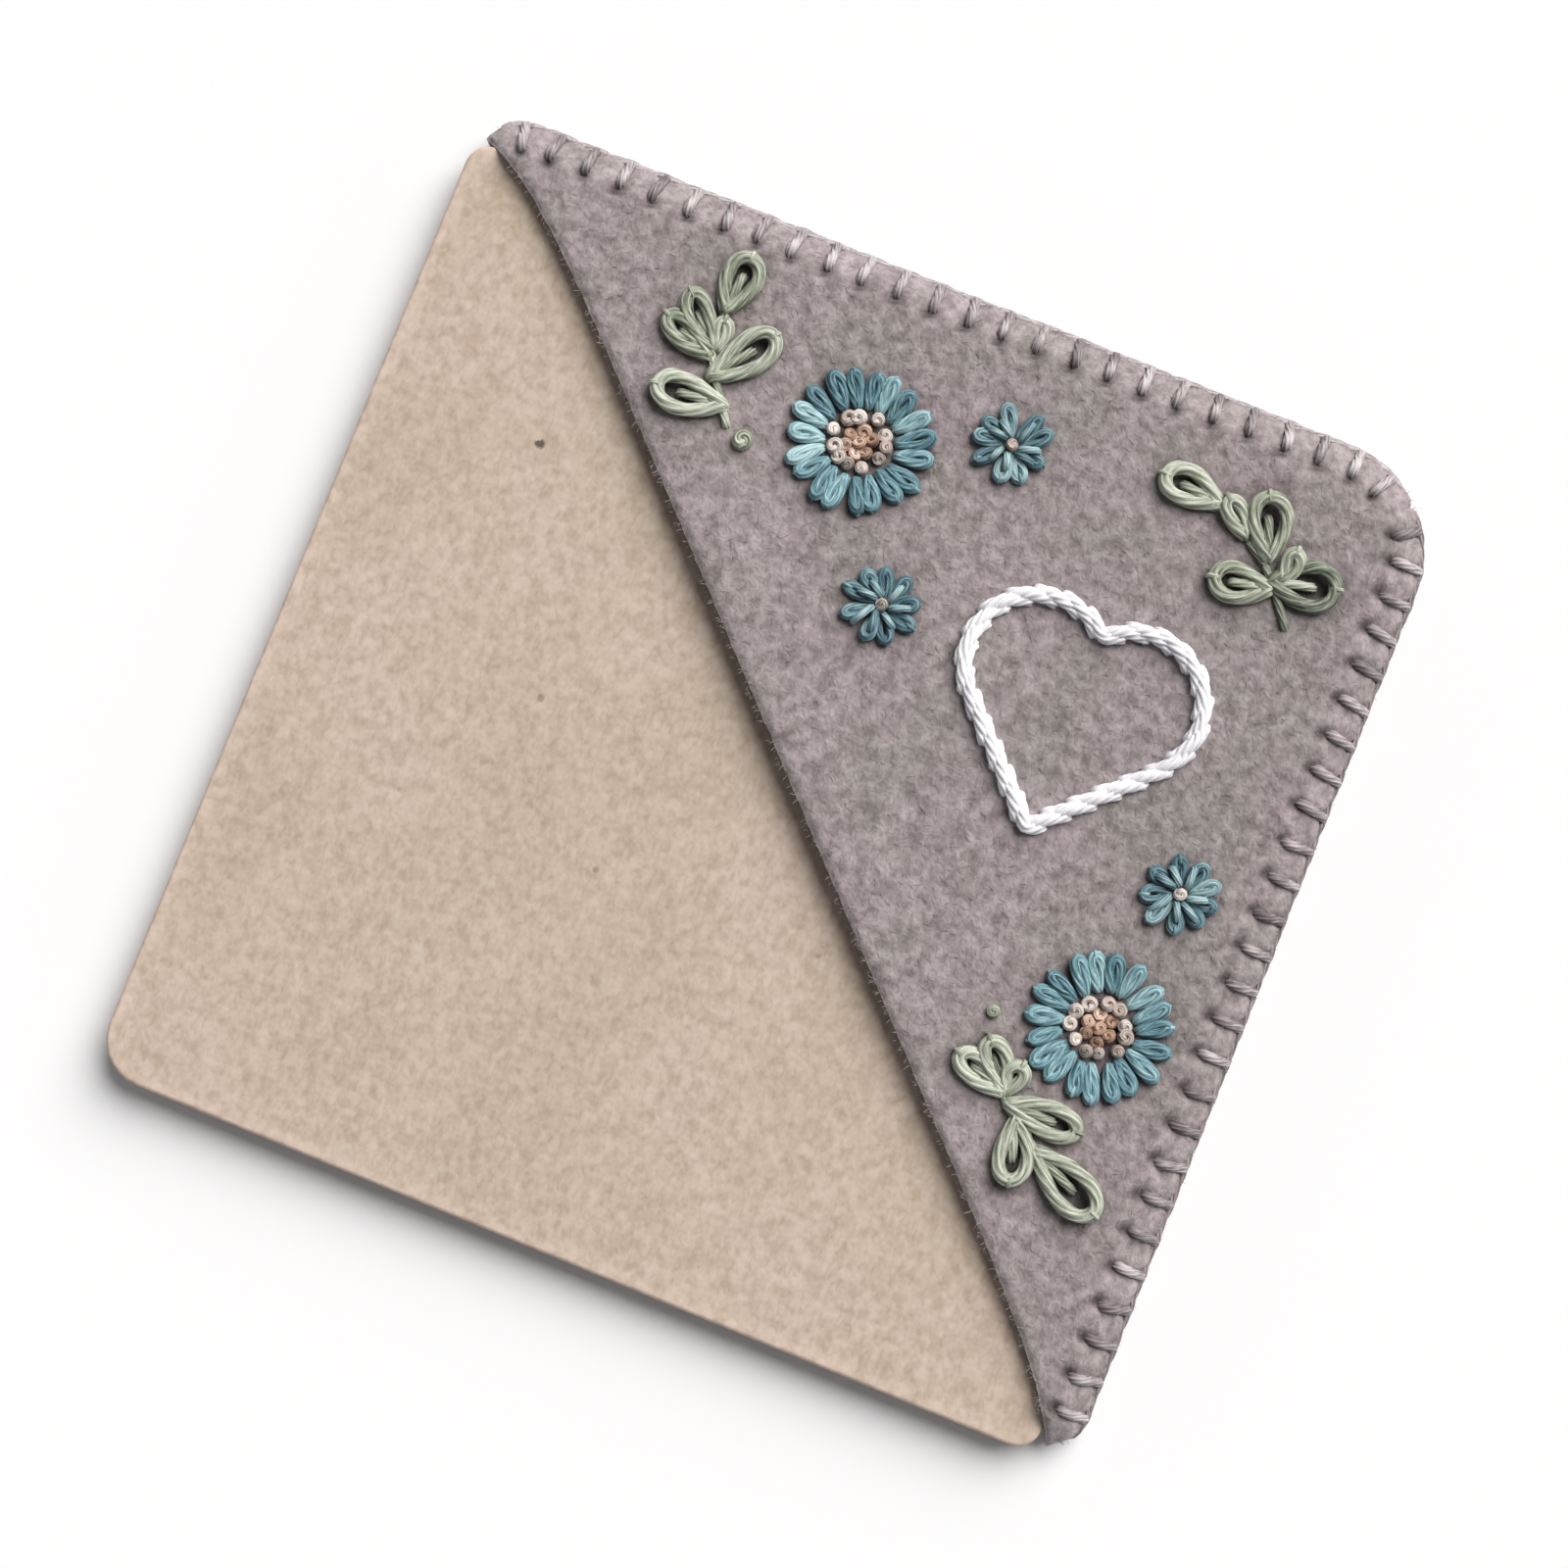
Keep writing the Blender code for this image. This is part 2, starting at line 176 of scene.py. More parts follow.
def add(tree, kind, settings=None, **inputs):
    """Adds a node, sets its properties, and gives each named input a value or a link."""
    made = tree.nodes.new(kind)
    for name, value in (settings or {}).items():
        if name == "stops":
            ramp = made.color_ramp
            while len(ramp.elements) < len(value):
                ramp.elements.new(0.5)
            for element, (place, shade) in zip(ramp.elements, value):
                element.position = place
                element.color = colour(shade)
        else:
            setattr(made, name, value)
    for name, value in inputs.items():
        key = int(name[1:]) if name[1:].isdigit() else name.replace("_", " ")
        socket = made.inputs[key]
        if isinstance(value, bpy.types.NodeSocket):
            tree.links.new(value, socket)
        else:
            socket.default_value = value
    return made


def start_material(name, roughness, sheen=0.0, sheen_roughness=0.5):
    """A new material, its node tree and its shader."""
    made = bpy.data.materials.new(name)
    made.use_nodes = True
    shader = made.node_tree.nodes["Principled BSDF"]
    shader.inputs["Roughness"].default_value = roughness
    shader.inputs["Sheen Weight"].default_value = sheen
    shader.inputs["Sheen Roughness"].default_value = sheen_roughness
    shader.inputs["IOR"].default_value = 1.5  # of wool, cotton and paper fibre, near enough
    return made, made.node_tree, shader


print("a mid grey is", [round(v, 3) for v in colour("#808080")[:3]])

# %% [markdown]
# ## The camera and the light
#
# The camera looks almost straight down at the pocket, turned so that the mouth runs from upper left to
# lower right. A soft window-like light comes low from the stitched side, so that every thread throws a
# small shadow towards the mouth, and a pale world fills the shadows. The floor is a plain pale board,
# wide enough to reach past the edge of a low view.

# %% Camera
AIM = Vector((0.00072, -0.00023, 0.0))
DISTANCE = 0.2490
TILT = math.radians(3.49)
TILT_AZIMUTH = math.radians(-45.3)
UP = Vector((-0.37343, 0.92595, 0.05626))

scene = bpy.context.scene
out = Vector((math.cos(TILT_AZIMUTH), math.sin(TILT_AZIMUTH), 0)) * math.sin(TILT)
out.z = math.cos(TILT)
camera_data = bpy.data.cameras.new("camera")
camera_data.lens = 70
camera_data.sensor_width = 36
camera_data.clip_start = 0.01
camera = bpy.data.objects.new("camera", camera_data)
right = UP.cross(out).normalized()
turn = Matrix((right, out.cross(right), out)).transposed()
camera.matrix_world = Matrix.Translation(AIM + out * DISTANCE) @ turn.to_4x4()
scene.collection.objects.link(camera)
scene.camera = camera
print("camera at", [round(v, 4) for v in camera.matrix_world.translation])


# %% Lights and world
sun_data = bpy.data.lights.new("window", "SUN")
sun_data.energy = 4.25
sun_data.angle = math.radians(52)  # a wide window, which softens the shadows
sun_data.color = (1.0, 0.985, 0.965)
sun = bpy.data.objects.new("window", sun_data)
SUN_AZIMUTH = math.radians(67)
SUN_HEIGHT = math.radians(42)
level = math.cos(SUN_HEIGHT)
to_sun = Vector((math.cos(SUN_AZIMUTH) * level, math.sin(SUN_AZIMUTH) * level, math.sin(SUN_HEIGHT)))
sun.rotation_euler = to_sun.to_track_quat("Z", "Y").to_euler()
sun.location = to_sun
scene.collection.objects.link(sun)

# The room is pale near the floor and dimmer above, so that a low view has a light background.
world = bpy.data.worlds.new("pale_room")
world.use_nodes = True
room = world.node_tree
direction = add(room, "ShaderNodeTexCoord")
height = add(room, "ShaderNodeSeparateXYZ", Vector=direction.outputs["Generated"])
strength = add(
    room, "ShaderNodeMapRange", {"interpolation_type": "SMOOTHSTEP"}, Value=height.outputs["Z"],
    From_Min=0.16, From_Max=0.40, To_Min=0.92, To_Max=0.12,
)
backdrop = room.nodes["Background"]
backdrop.inputs["Color"].default_value = (0.95, 0.965, 1.0, 1.0)
room.links.new(strength.outputs["Result"], backdrop.inputs["Strength"])
scene.world = world
scene.view_settings.view_transform = "Standard"
scene.view_settings.look = "None"
print("light comes from", [round(v, 2) for v in to_sun])

# %% [markdown]
# ## Craft felt
#
# Craft felt is pressed fibre with no weave. Up close it is mottled, because fibres of a few shades lie
# in tufts a few millimetres across, and its skin is rough at the width of a fibre bundle, about half
# a millimetre. It has no gloss, only the faint pale bloom of fibre ends, which the sheen gives. Three
# noise patterns on Object coordinates give the mottling, the tufts and the bump. The `pit`
# attribute that the felt mesh carries is painted shade: it darkens the needle holes and the felt under
# the flowers' middles, the petals and the leaves, where little light gets in.


# %% Felt material
COVER = {"data_type": "RGBA"}
MULTIPLY = {"data_type": "RGBA", "blend_type": "MULTIPLY"}


def felt_material():
    made, tree, shader = start_material("craft_felt_taupe", 0.95, sheen=0.25)
    place = add(tree, "ShaderNodeTexCoord").outputs["Object"]
    # Clouds of shade about 7 mm across, tufts about 1.1 mm, and fibre bundles 0.5 mm wide.
    cloud = add(tree, "ShaderNodeTexNoise", Vector=place, Scale=150.0, Detail=2.0, Roughness=0.5)
    tuft = add(tree, "ShaderNodeTexNoise", Vector=place, Scale=900.0, Detail=2.0, Roughness=0.5)
    stretch = add(tree, "ShaderNodeMapping", Vector=place, Scale=(1.0, 0.75, 1.0), Rotation=(0, 0, 0.6))
    drawn = stretch.outputs["Vector"]
    fibre = add(tree, "ShaderNodeTexNoise", Vector=drawn, Scale=2000.0, Detail=1.0, Distortion=1.0)
    shades = {"stops": [(0.36, "#AAA3A1"), (0.50, "#B0A6A6"), (0.64, "#B4A7AA")]}
    mixed = add(tree, "ShaderNodeValToRGB", shades, Fac=cloud.outputs["Fac"]).outputs["Color"]
    for pattern, amount, stops in (
        (tuft, 1.0, [(0.30, "#C2C0BE"), (0.52, "#E8E6E6"), (0.72, "#FFFFFF")]),
        (fibre, 0.55, [(0.33, "#C0BCBC"), (0.5, "#EAE8E8"), (0.7, "#FFFFFF")]),
    ):
        shade = add(tree, "ShaderNodeValToRGB", {"stops": stops}, Fac=pattern.outputs["Fac"])
        layer = add(tree, "ShaderNodeMix", MULTIPLY, i0=amount, i6=mixed, i7=shade.outputs["Color"])
        mixed = layer.outputs[2]
    # Painted shade: the felt is darkened towards #2E2224 in its needle holes and under the stitches.
    pit = add(tree, "ShaderNodeAttribute", {"attribute_name": "pit"})
    layer = add(tree, "ShaderNodeMix", COVER, i0=pit.outputs["Fac"], i6=mixed, i7=colour("#2E2224"))
    tree.links.new(layer.outputs[2], shader.inputs["Base Color"])
    low = add(tree, "ShaderNodeBump", Strength=0.5, Distance=0.0003, Height=tuft.outputs["Fac"])
    fine = add(tree, "ShaderNodeBump", Strength=0.5, Distance=0.0002, Height=fibre.outputs["Fac"])
    tree.links.new(low.outputs["Normal"], fine.inputs["Normal"])
    tree.links.new(fine.outputs["Normal"], shader.inputs["Normal"])
    return made


FELT_FINISH = felt_material()
print("made", FELT_FINISH.name)

# %% [markdown]
# ## Stranded cotton
#
# Embroidery cotton is six loose plies with a soft lustre from mercerising. Light runs along the plies,
# so a stitch shows fine lines that follow it, bright on its crown and dark in its grooves. The yarn
# mesh carries a `fibre` attribute whose first two parts go round the yarn and whose third runs along
# it, so noise on it is drawn out along the thread. A second attribute, `tone`, makes
# each stitch a little lighter or darker than the next, and also holds painted light: painted shade in
# the grooves between the plies and at the thread's sides, a painted highlight on its crown, and a
# painted glint at one place on some stitches.


# %% Cotton material
def cotton_material(name, deep, body, lit):
    """Stranded cotton from three shades: deep for the painted shade of its grooves and sides, body, and lit
    for the painted highlight on its crown.
    """
    made, tree, shader = start_material(name, 0.55, sheen=0.3, sheen_roughness=0.4)
    fibre = add(tree, "ShaderNodeAttribute", {"attribute_name": "fibre"})
    tone = add(tree, "ShaderNodeAttribute", {"attribute_name": "tone"})
    # Filaments are some 0.02 mm wide; they are drawn about 0.1 mm wide so that they show.
    along = fibre.outputs["Vector"]
    lines = add(tree, "ShaderNodeTexNoise", Vector=along, Scale=3.2, Detail=2.5, Roughness=0.6)
    # Filament lines and the tone, with its painted shade and painted highlight, pick the shade.
    both = add(tree, "ShaderNodeMath", {"operation": "ADD"}, i0=lines.outputs["Fac"], i1=tone.outputs["Fac"])
    shades = {"stops": [(0.28, deep), (0.50, body), (0.74, lit)]}
    shade = add(tree, "ShaderNodeValToRGB", shades, Fac=both.outputs["Value"])
    tree.links.new(shade.outputs["Color"], shader.inputs["Base Color"])
    bump = add(tree, "ShaderNodeBump", Strength=0.5, Distance=0.00008, Height=lines.outputs["Fac"])
    tree.links.new(bump.outputs["Normal"], shader.inputs["Normal"])
    return made


TAUPE = cotton_material("stranded_cotton_taupe", "#52474A", "#877C7D", "#C6BDBE")
TEAL = cotton_material("stranded_cotton_teal", "#1D3B48", "#65919C", "#B9D8DA")
DEEP_TEAL = cotton_material("stranded_cotton_deep_teal", "#1A323E", "#557B87", "#ABC7C8")
SAGE = cotton_material("stranded_cotton_sage", "#40473A", "#939985", "#CFD3C3")
PEACH = cotton_material("stranded_cotton_peach", "#74503F", "#C49F88", "#EDD8C8")
BLUSH = cotton_material("stranded_cotton_blush", "#7E675F", "#C9BAB0", "#F2EBE4")
WHITE = cotton_material("stranded_cotton_white", "#D6D3DC", "#F4F2F7", "#FFFFFF")
print("cottons", [m.name for m in bpy.data.materials if m.name.startswith("stranded")])

# %% [markdown]
# ## Kraft board
#
# The card is uncoated kraft board: pressed brown pulp, matt, with cloudy patches where the pulp lay
# thicker, short paler fibres and a few dark specks of bark. Its colour is paler along its rims, which the
# `edge` attribute of the card's mesh marks. On its cut side the layers of the board show as thin
# lines, drawn here by a wave pattern that runs up the side, where the `cut` attribute is above zero.


# %% Kraft material
TIMES = {"operation": "MULTIPLY"}
BARK_PLACE = (-0.0281, 0.0179, CARD_TOP * MM)


def kraft_material():
    made, tree, shader = start_material("kraft_board_uncoated", 0.88)
    place = add(tree, "ShaderNodeTexCoord").outputs["Object"]
    # Clouds of pulp about 14 mm across, grains 0.9 mm across and fibres 0.45 mm wide.
    cloud = add(tree, "ShaderNodeTexNoise", Vector=place, Scale=70.0, Detail=2.0, Roughness=0.5)
    pulp = add(tree, "ShaderNodeTexNoise", Vector=place, Scale=1150.0, Detail=1.5, Roughness=0.5)
    stretch = add(tree, "ShaderNodeMapping", Vector=place, Scale=(1.0, 0.5, 1.0), Rotation=(0, 0, 0.4))
    drawn = stretch.outputs["Vector"]
    fibre = add(tree, "ShaderNodeTexNoise", Vector=drawn, Scale=2200.0, Detail=1.0, Distortion=0.6)
    shades = {"stops": [(0.34, "#CABAAA"), (0.5, "#CEBEAE"), (0.66, "#D1BFB2")]}
    mixed = add(tree, "ShaderNodeValToRGB", shades, Fac=cloud.outputs["Fac"]).outputs["Color"]
    for pattern, amount, stops in (
        (pulp, 0.9, [(0.32, "#E8E3DD"), (0.5, "#F5F3F0"), (0.7, "#FFFFFF")]),
        (fibre, 0.4, [(0.34, "#DCD2C6"), (0.5, "#F6F3F0"), (0.7, "#FFFFFF")]),
    ):
        shade = add(tree, "ShaderNodeValToRGB", {"stops": stops}, Fac=pattern.outputs["Fac"])
        layer = add(tree, "ShaderNodeMix", MULTIPLY, i0=amount, i6=mixed, i7=shade.outputs["Color"])
        mixed = layer.outputs[2]
    # Specks of bark up to 0.7 mm across, in four of every ten cells 5 mm wide.
    speck = add(tree, "ShaderNodeTexVoronoi", Vector=place, Scale=190.0, Randomness=1.0)
    near_speck = add(
        tree, "ShaderNodeMapRange", Value=speck.outputs["Distance"],
        From_Min=0.045, From_Max=0.075, To_Min=0.55, To_Max=0.0,
    )
    some = add(tree, "ShaderNodeMath", {"operation": "GREATER_THAN"}, i0=speck.outputs["Color"], i1=0.62)
    # One larger fleck of bark with a ragged outline.
    apart = add(tree, "ShaderNodeVectorMath", {"operation": "DISTANCE"}, i0=place, i1=BARK_PLACE)
    ragged = add(tree, "ShaderNodeMath", TIMES, i0=apart.outputs["Value"], i1=fibre.outputs["Fac"])
    bark = add(
        tree, "ShaderNodeMapRange", Value=ragged.outputs["Value"],
        From_Min=0.00012, From_Max=0.00020, To_Min=0.85, To_Max=0.0,
    )
    # The plies show on the cut side as lines 0.25 mm apart.
    along_z = {"bands_direction": "Z"}
    plies = add(tree, "ShaderNodeTexWave", along_z, Vector=place, Scale=1250.0, Distortion=1.5)
    side = add(tree, "ShaderNodeAttribute", {"attribute_name": "cut"})
    edge = add(tree, "ShaderNodeAttribute", {"attribute_name": "edge"})
    specks = add(tree, "ShaderNodeMath", TIMES, i0=near_speck.outputs["Result"], i1=some.outputs["Value"])
    layers = add(tree, "ShaderNodeMath", TIMES, i0=plies.outputs["Fac"], i1=side.outputs["Fac"])
    # Paler towards the card's rims, broken up by the pulp grains.
    paler_rim = add(tree, "ShaderNodeMath", TIMES, i0=edge.outputs["Fac"], i1=pulp.outputs["Fac"])
    for amount, hex_code in (
        (specks.outputs["Value"], "#7E6A58"),
        (bark.outputs["Result"], "#463629"),
        (layers.outputs["Value"], "#A08870"),
        (paler_rim.outputs["Value"], "#E4CDBF"),
    ):
        layer = add(tree, "ShaderNodeMix", COVER, i0=amount, i6=mixed, i7=colour(hex_code))
        mixed = layer.outputs[2]
    tree.links.new(mixed, shader.inputs["Base Color"])
    bump = add(tree, "ShaderNodeBump", Strength=0.2, Distance=0.0001, Height=fibre.outputs["Fac"])
    broad = add(tree, "ShaderNodeBump", Strength=0.22, Distance=0.0002, Height=pulp.outputs["Fac"])
    tree.links.new(bump.outputs["Normal"], broad.inputs["Normal"])
    tree.links.new(broad.outputs["Normal"], shader.inputs["Normal"])
    return made


KRAFT = kraft_material()
print("made", KRAFT.name)

# %% [markdown]
# ## Finishing a piece
#
# Pieces are modelled in millimetres, because thread and felt are easier to judge that way. This helper
# scales the mesh to metres, smooths it, gives it its material, ties it to the body that it moves with,
# and hides the frame's solids that it stands for.


# %% Piece helper
def make_piece(name, bm, finish, body, stands_for, sharp=40):
    """Turns a bmesh in millimetres into a finished piece, and ties it to the frame."""
    bmesh.ops.scale(bm, verts=bm.verts, vec=(MM, MM, MM))
    mesh = bpy.data.meshes.new(name)
    bm.to_mesh(mesh)
    bm.free()
    mesh.shade_smooth()
    mesh.set_sharp_from_angle(angle=math.radians(sharp))
    made = bpy.data.objects.new(name, mesh)
    made.data.materials.append(finish)
    scene.collection.objects.link(made)
    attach(made, body)
    if stands_for:
        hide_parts(*stands_for)
    print(name, len(mesh.polygons), "faces")
    return made


# %% [markdown]
# ## Where the stitches go
#
# Each motif is a few stitches at places given one by one, as on the felt: the places come first, because
# each needle hole also dents the felt, and shade is painted into the felt's colour there. Blanket stitch
# runs at an even pitch along both legs. Every place is in millimetres from the middle of the square.

# %% Places of the stitches
STITCH_PITCH = 3.05
STITCH_BITE = 1.95  # in from the felt's edge
TOP_LEG = [-39.05 + STITCH_PITCH * k for k in range(26)]
SIDE_LEG = [-38.4 + STITCH_PITCH * k for k in range(26)]

LARGE_FLOWERS = [(-3.8, 27.4), (31.5, -9.1)]
SMALL_FLOWERS = [(7.7, 31.7), (2.8, 15.8), (33.5, 3.2)]
BUDS = [(-12.6, 24.0), (23.2, -11.0)]
BUD_SIZES = (0.92, 0.64)
HEART_CENTRE = (20.2, 11.8)
HEART_HALF = 8.2

# Each sprig is a stem through a few points, and leaves as (foot, tip, width).
SPRIGS = [
    (
        [(-14.2, 24.6), (-15.6, 26.6), (-16.9, 28.3), (-17.6, 30.0), (-17.9, 33.5)],
        [
            ((-17.9, 33.4), (-17.4, 38.6), 3.7),
            ((-17.7, 29.4), (-22.4, 31.4), 2.8),
            ((-17.7, 30.0), (-21.2, 34.0), 2.9),
            ((-17.5, 30.2), (-17.5, 33.0), 2.0),
            ((-16.9, 27.9), (-13.0, 33.2), 3.7),
            ((-15.1, 26.0), (-21.2, 25.6), 3.7),
        ],
    ),
    (
        [(24.9, 33.6), (28.2, 31.6), (30.1, 30.3), (31.4, 28.9), (33.5, 26.1)],
        [
            ((24.9, 33.5), (19.5, 34.2), 3.6),
            ((27.7, 32.0), (25.1, 34.5), 2.4),
            ((30.1, 30.9), (28.2, 36.0), 3.9),
            ((31.1, 28.5), (26.1, 27.8), 3.6),
            ((31.0, 29.2), (36.6, 30.6), 4.4),
            ((31.8, 29.8), (32.1, 32.6), 2.2),
        ],
    ),
    (
        [(26.2, -16.7), (27.2, -17.7), (28.9, -18.9), (30.3, -19.9), (31.4, -20.2)],
        [
            ((26.1, -16.7), (21.5, -14.9), 2.9),
            ((26.2, -16.7), (23.5, -12.8), 2.9),
            ((26.3, -16.5), (27.0, -13.7), 2.6),
            ((27.0, -17.3), (33.4, -17.4), 3.3),
            ((28.1, -18.2), (29.4, -23.5), 3.5),
            ((30.4, -20.0), (36.9, -23.1), 4.0),
        ],
    ),
]

print(len(TOP_LEG) + len(SIDE_LEG), "blanket stitches,", len(SPRIGS), "leaf sprigs")

# %% Places where the stitches press the felt, and where shade is painted on it
# Each is (radius, depth, darkness); the darkness is painted shade, strongest in the middle.
NEEDLE_HOLE = (0.55, 0.6, 1.0)  # radius, depth and darkness, as in the next three
LARGE_MIDDLE = (3.3, 0.3, 1.0)
UNDER_PETAL = (1.5, 0.12, 0.75)
SMALL_FLOWER = (2.3, 0.2, 0.85)
UNDER_PETALS = 13
PETAL_REACH = 4.4

pits = []
# Needle holes of the blanket stitch, each with a dent and painted shade.
for side, leg in ((False, TOP_LEG), (True, SIDE_LEG)):
    for step in leg:
        pits.append((*rim_point(step, STITCH_BITE + 0.4, side), *NEEDLE_HOLE))
# Under each large flower's knots and petals, a dent with painted shade.
for centre in LARGE_FLOWERS:
    pits.append((*centre, *LARGE_MIDDLE))
    for k in range(UNDER_PETALS):
        angle = 2 * math.pi * k / UNDER_PETALS
        x = centre[0] + PETAL_REACH * math.cos(angle)
        y = centre[1] + PETAL_REACH * math.sin(angle)
        pits.append((x, y, *UNDER_PETAL))
for centre in SMALL_FLOWERS:
    pits.append((*centre, *SMALL_FLOWER))
for stem, leaves in SPRIGS:
    for foot, tip, width in leaves:
        # A shallow dent with painted shade inside each leaf loop.
        for share in (0.3, 0.55, 0.8):
            place = Vector(foot).lerp(Vector(tip), share)
            pits.append((*place, width * 0.36, 0.12, 0.85))
print(len(pits), "pressed places")

# %% [markdown]
# ## The front felt
#
# The front is one sheet with a real thickness. It lies on the card, is pinched down on the back felt
# along the sewn rim, and stands open a little at the mouth. A rectangular grid is bent to it: its
# columns run across the mouth, and its rows run from the mouth to the rim on top, over the cut edge
# and back underneath, so that one grid wraps the whole sheet. Rows are close together where the edges
# roll over. Cloth simulation could drape such a sheet too, but the stitches have to press the felt at
# their own places and the rim has to meet the back felt exactly, so the height is worked out instead.

# %% Height of the front felt
RIM_TOP = 2.5  # top of the felt at its sewn edge
FACE_UNDER = CARD_TOP + 0.08
RIM_WIDTH = 2.7  # over which the felt rises from the rim to the pocket's face


def front_face(x, y):
    """Top of the front felt, without dents."""
    along, across = to_diagonal(x, y)
    near = mouth_line(along)
    far = max(leg_line(along, RIM_WIDTH), near + 0.3)
    share = min(max((across - near) / (far - near), 0.0), 1.0)
    lift = GAPE * max(1 - (along / HALF_MOUTH) ** 2, 0.0) ** 1.3 * (1 - share) ** 2
    face = FACE_UNDER + FELT + lift
    rise = smooth((from_leg(x, y)[0] + 0.2) / (RIM_WIDTH + 0.2))
    return RIM_TOP + (face - RIM_TOP) * rise


tree_of_pits = kdtree.KDTree(len(pits))
for number, pit in enumerate(pits):
    tree_of_pits.insert((pit[0], pit[1], 0), number)
tree_of_pits.balance()


def dent(x, y):
    """(depth, painted shade) that the needle holes near a point give it."""
    depth = painted_dark = 0.0
    for place, number, distance in tree_of_pits.find_range((x, y, 0), 6.0):
        _, _, radius, deep, shade = pits[number]
        near = math.exp(-((distance / radius) ** 2))
        depth += deep * near
        painted_dark = max(painted_dark, shade * near)
    return depth, painted_dark


def wobble(x, y, size, seed):
    """Soft noise from about -1 to 1 whose lumps are size millimetres apart."""
    return noise.noise(Vector((x / size, y / size, seed)))


print("felt top at the mouth", round(front_face(*from_diagonal(0, mouth_line(0))), 2))


# %% The rim between the stitches
def rim_step(x, y):
    """How many stitches along its leg a point lies."""
    step, far = min(x, y), max(x, y)
    if step > CENTRE:
        step = CENTRE + CORNER_R * math.atan2(step - CENTRE, far - CENTRE)
    elif step < -TIP_CENTRE:
        step = -TIP_CENTRE - TIP_R * math.atan2(-TIP_CENTRE - step, far - TIP_CENTRE)
    leg = SIDE_LEG if x > y else TOP_LEG
    return (step - leg[0]) / STITCH_PITCH


def notch(x, y, inset):
    """How far the thread pulls the cut edge in: most at each bar, and not at all between bars."""
    place = rim_step(x, y)
    if place < -0.9 or inset > 3:
        return 0.0
    bar = math.cos(place * 2 * math.pi)
    return (0.18 * max(bar, 0.0) ** 3 + 0.14 * bar) * math.exp(-inset / 0.9)


def bar_groove(x, y, inset):
    """From 0 to 1 in the groove that a bar of the blanket stitch presses into the felt."""
    place = rim_step(x, y)
    if place < -0.5 or inset > STITCH_BITE + 0.8:
        return 0.0
    beside = (place - round(place)) * STITCH_PITCH
    ends = 1 - smooth((inset - STITCH_BITE + 0.1) / 0.6)
    return math.exp(-((beside / 0.5) ** 2)) * ends


print("notch at a bar", round(notch(FELT_EDGE, SIDE_LEG[9], 0.0), 2), "mm")


# %% Rows and columns of the felt grid
MOUTH_ROWS = [0.0, 0.12, 0.3, 0.6, 1.0, 1.5, 2.1]
RIM_ROWS = [0.0, 0.08, 0.2, 0.38, 0.6, 0.85, 1.15, 1.5, 1.85, 2.2, 2.6, 3.1]
MIDDLE_ROWS = 60
UNDER_ROWS = 14
COLUMNS = 560
CROWDING = 0.6 * math.pi / 2  # columns are closer together near the mouth's two ends


def rows_over(count):
    """Places from the mouth (0) to the rim (1), as (share, millimetres from the mouth, from the rim)."""
    rows = [(0.0, inset, None) for inset in MOUTH_ROWS]
    rows += [(k / count, None, None) for k in range(1, count)]
    rows += [(1.0, None, inset) for inset in reversed(RIM_ROWS)]
    return rows


def across_at(along, row):
    """Where a row lies across the sheet, with the fine rows squeezed near the mouth's two ends."""
    share, from_mouth, from_rim = row
    far = felt_outline(along)
    near = min(mouth_line(along), far)
    width = far - near
    tight = min(width / 9.0, 1.0)
    first = near + MOUTH_ROWS[-1] * tight
    last = far - RIM_ROWS[-1] * ROOT2 * tight
    if from_mouth is not None:
        return near + from_mouth * tight
    if from_rim is not None:
        return far - from_rim * ROOT2 * tight
    return first + (last - first) * share


print("the front felt has", len(rows_over(MIDDLE_ROWS)), "rows on top and", COLUMNS, "columns")

# %% Felt sheet
SPREAD = 0.38  # the cut edges squash outwards under the thread
EDGE_ROLL = 0.3  # how far the cut edge rolls down on top
GROOVE_DEPTH = 0.16  # under a bar of the blanket stitch
LUMPS = ((9, 0.13, 0), (2.2, 0.04, 3), (0.9, 0.03, 9))  # size, height and seed of the uneven top


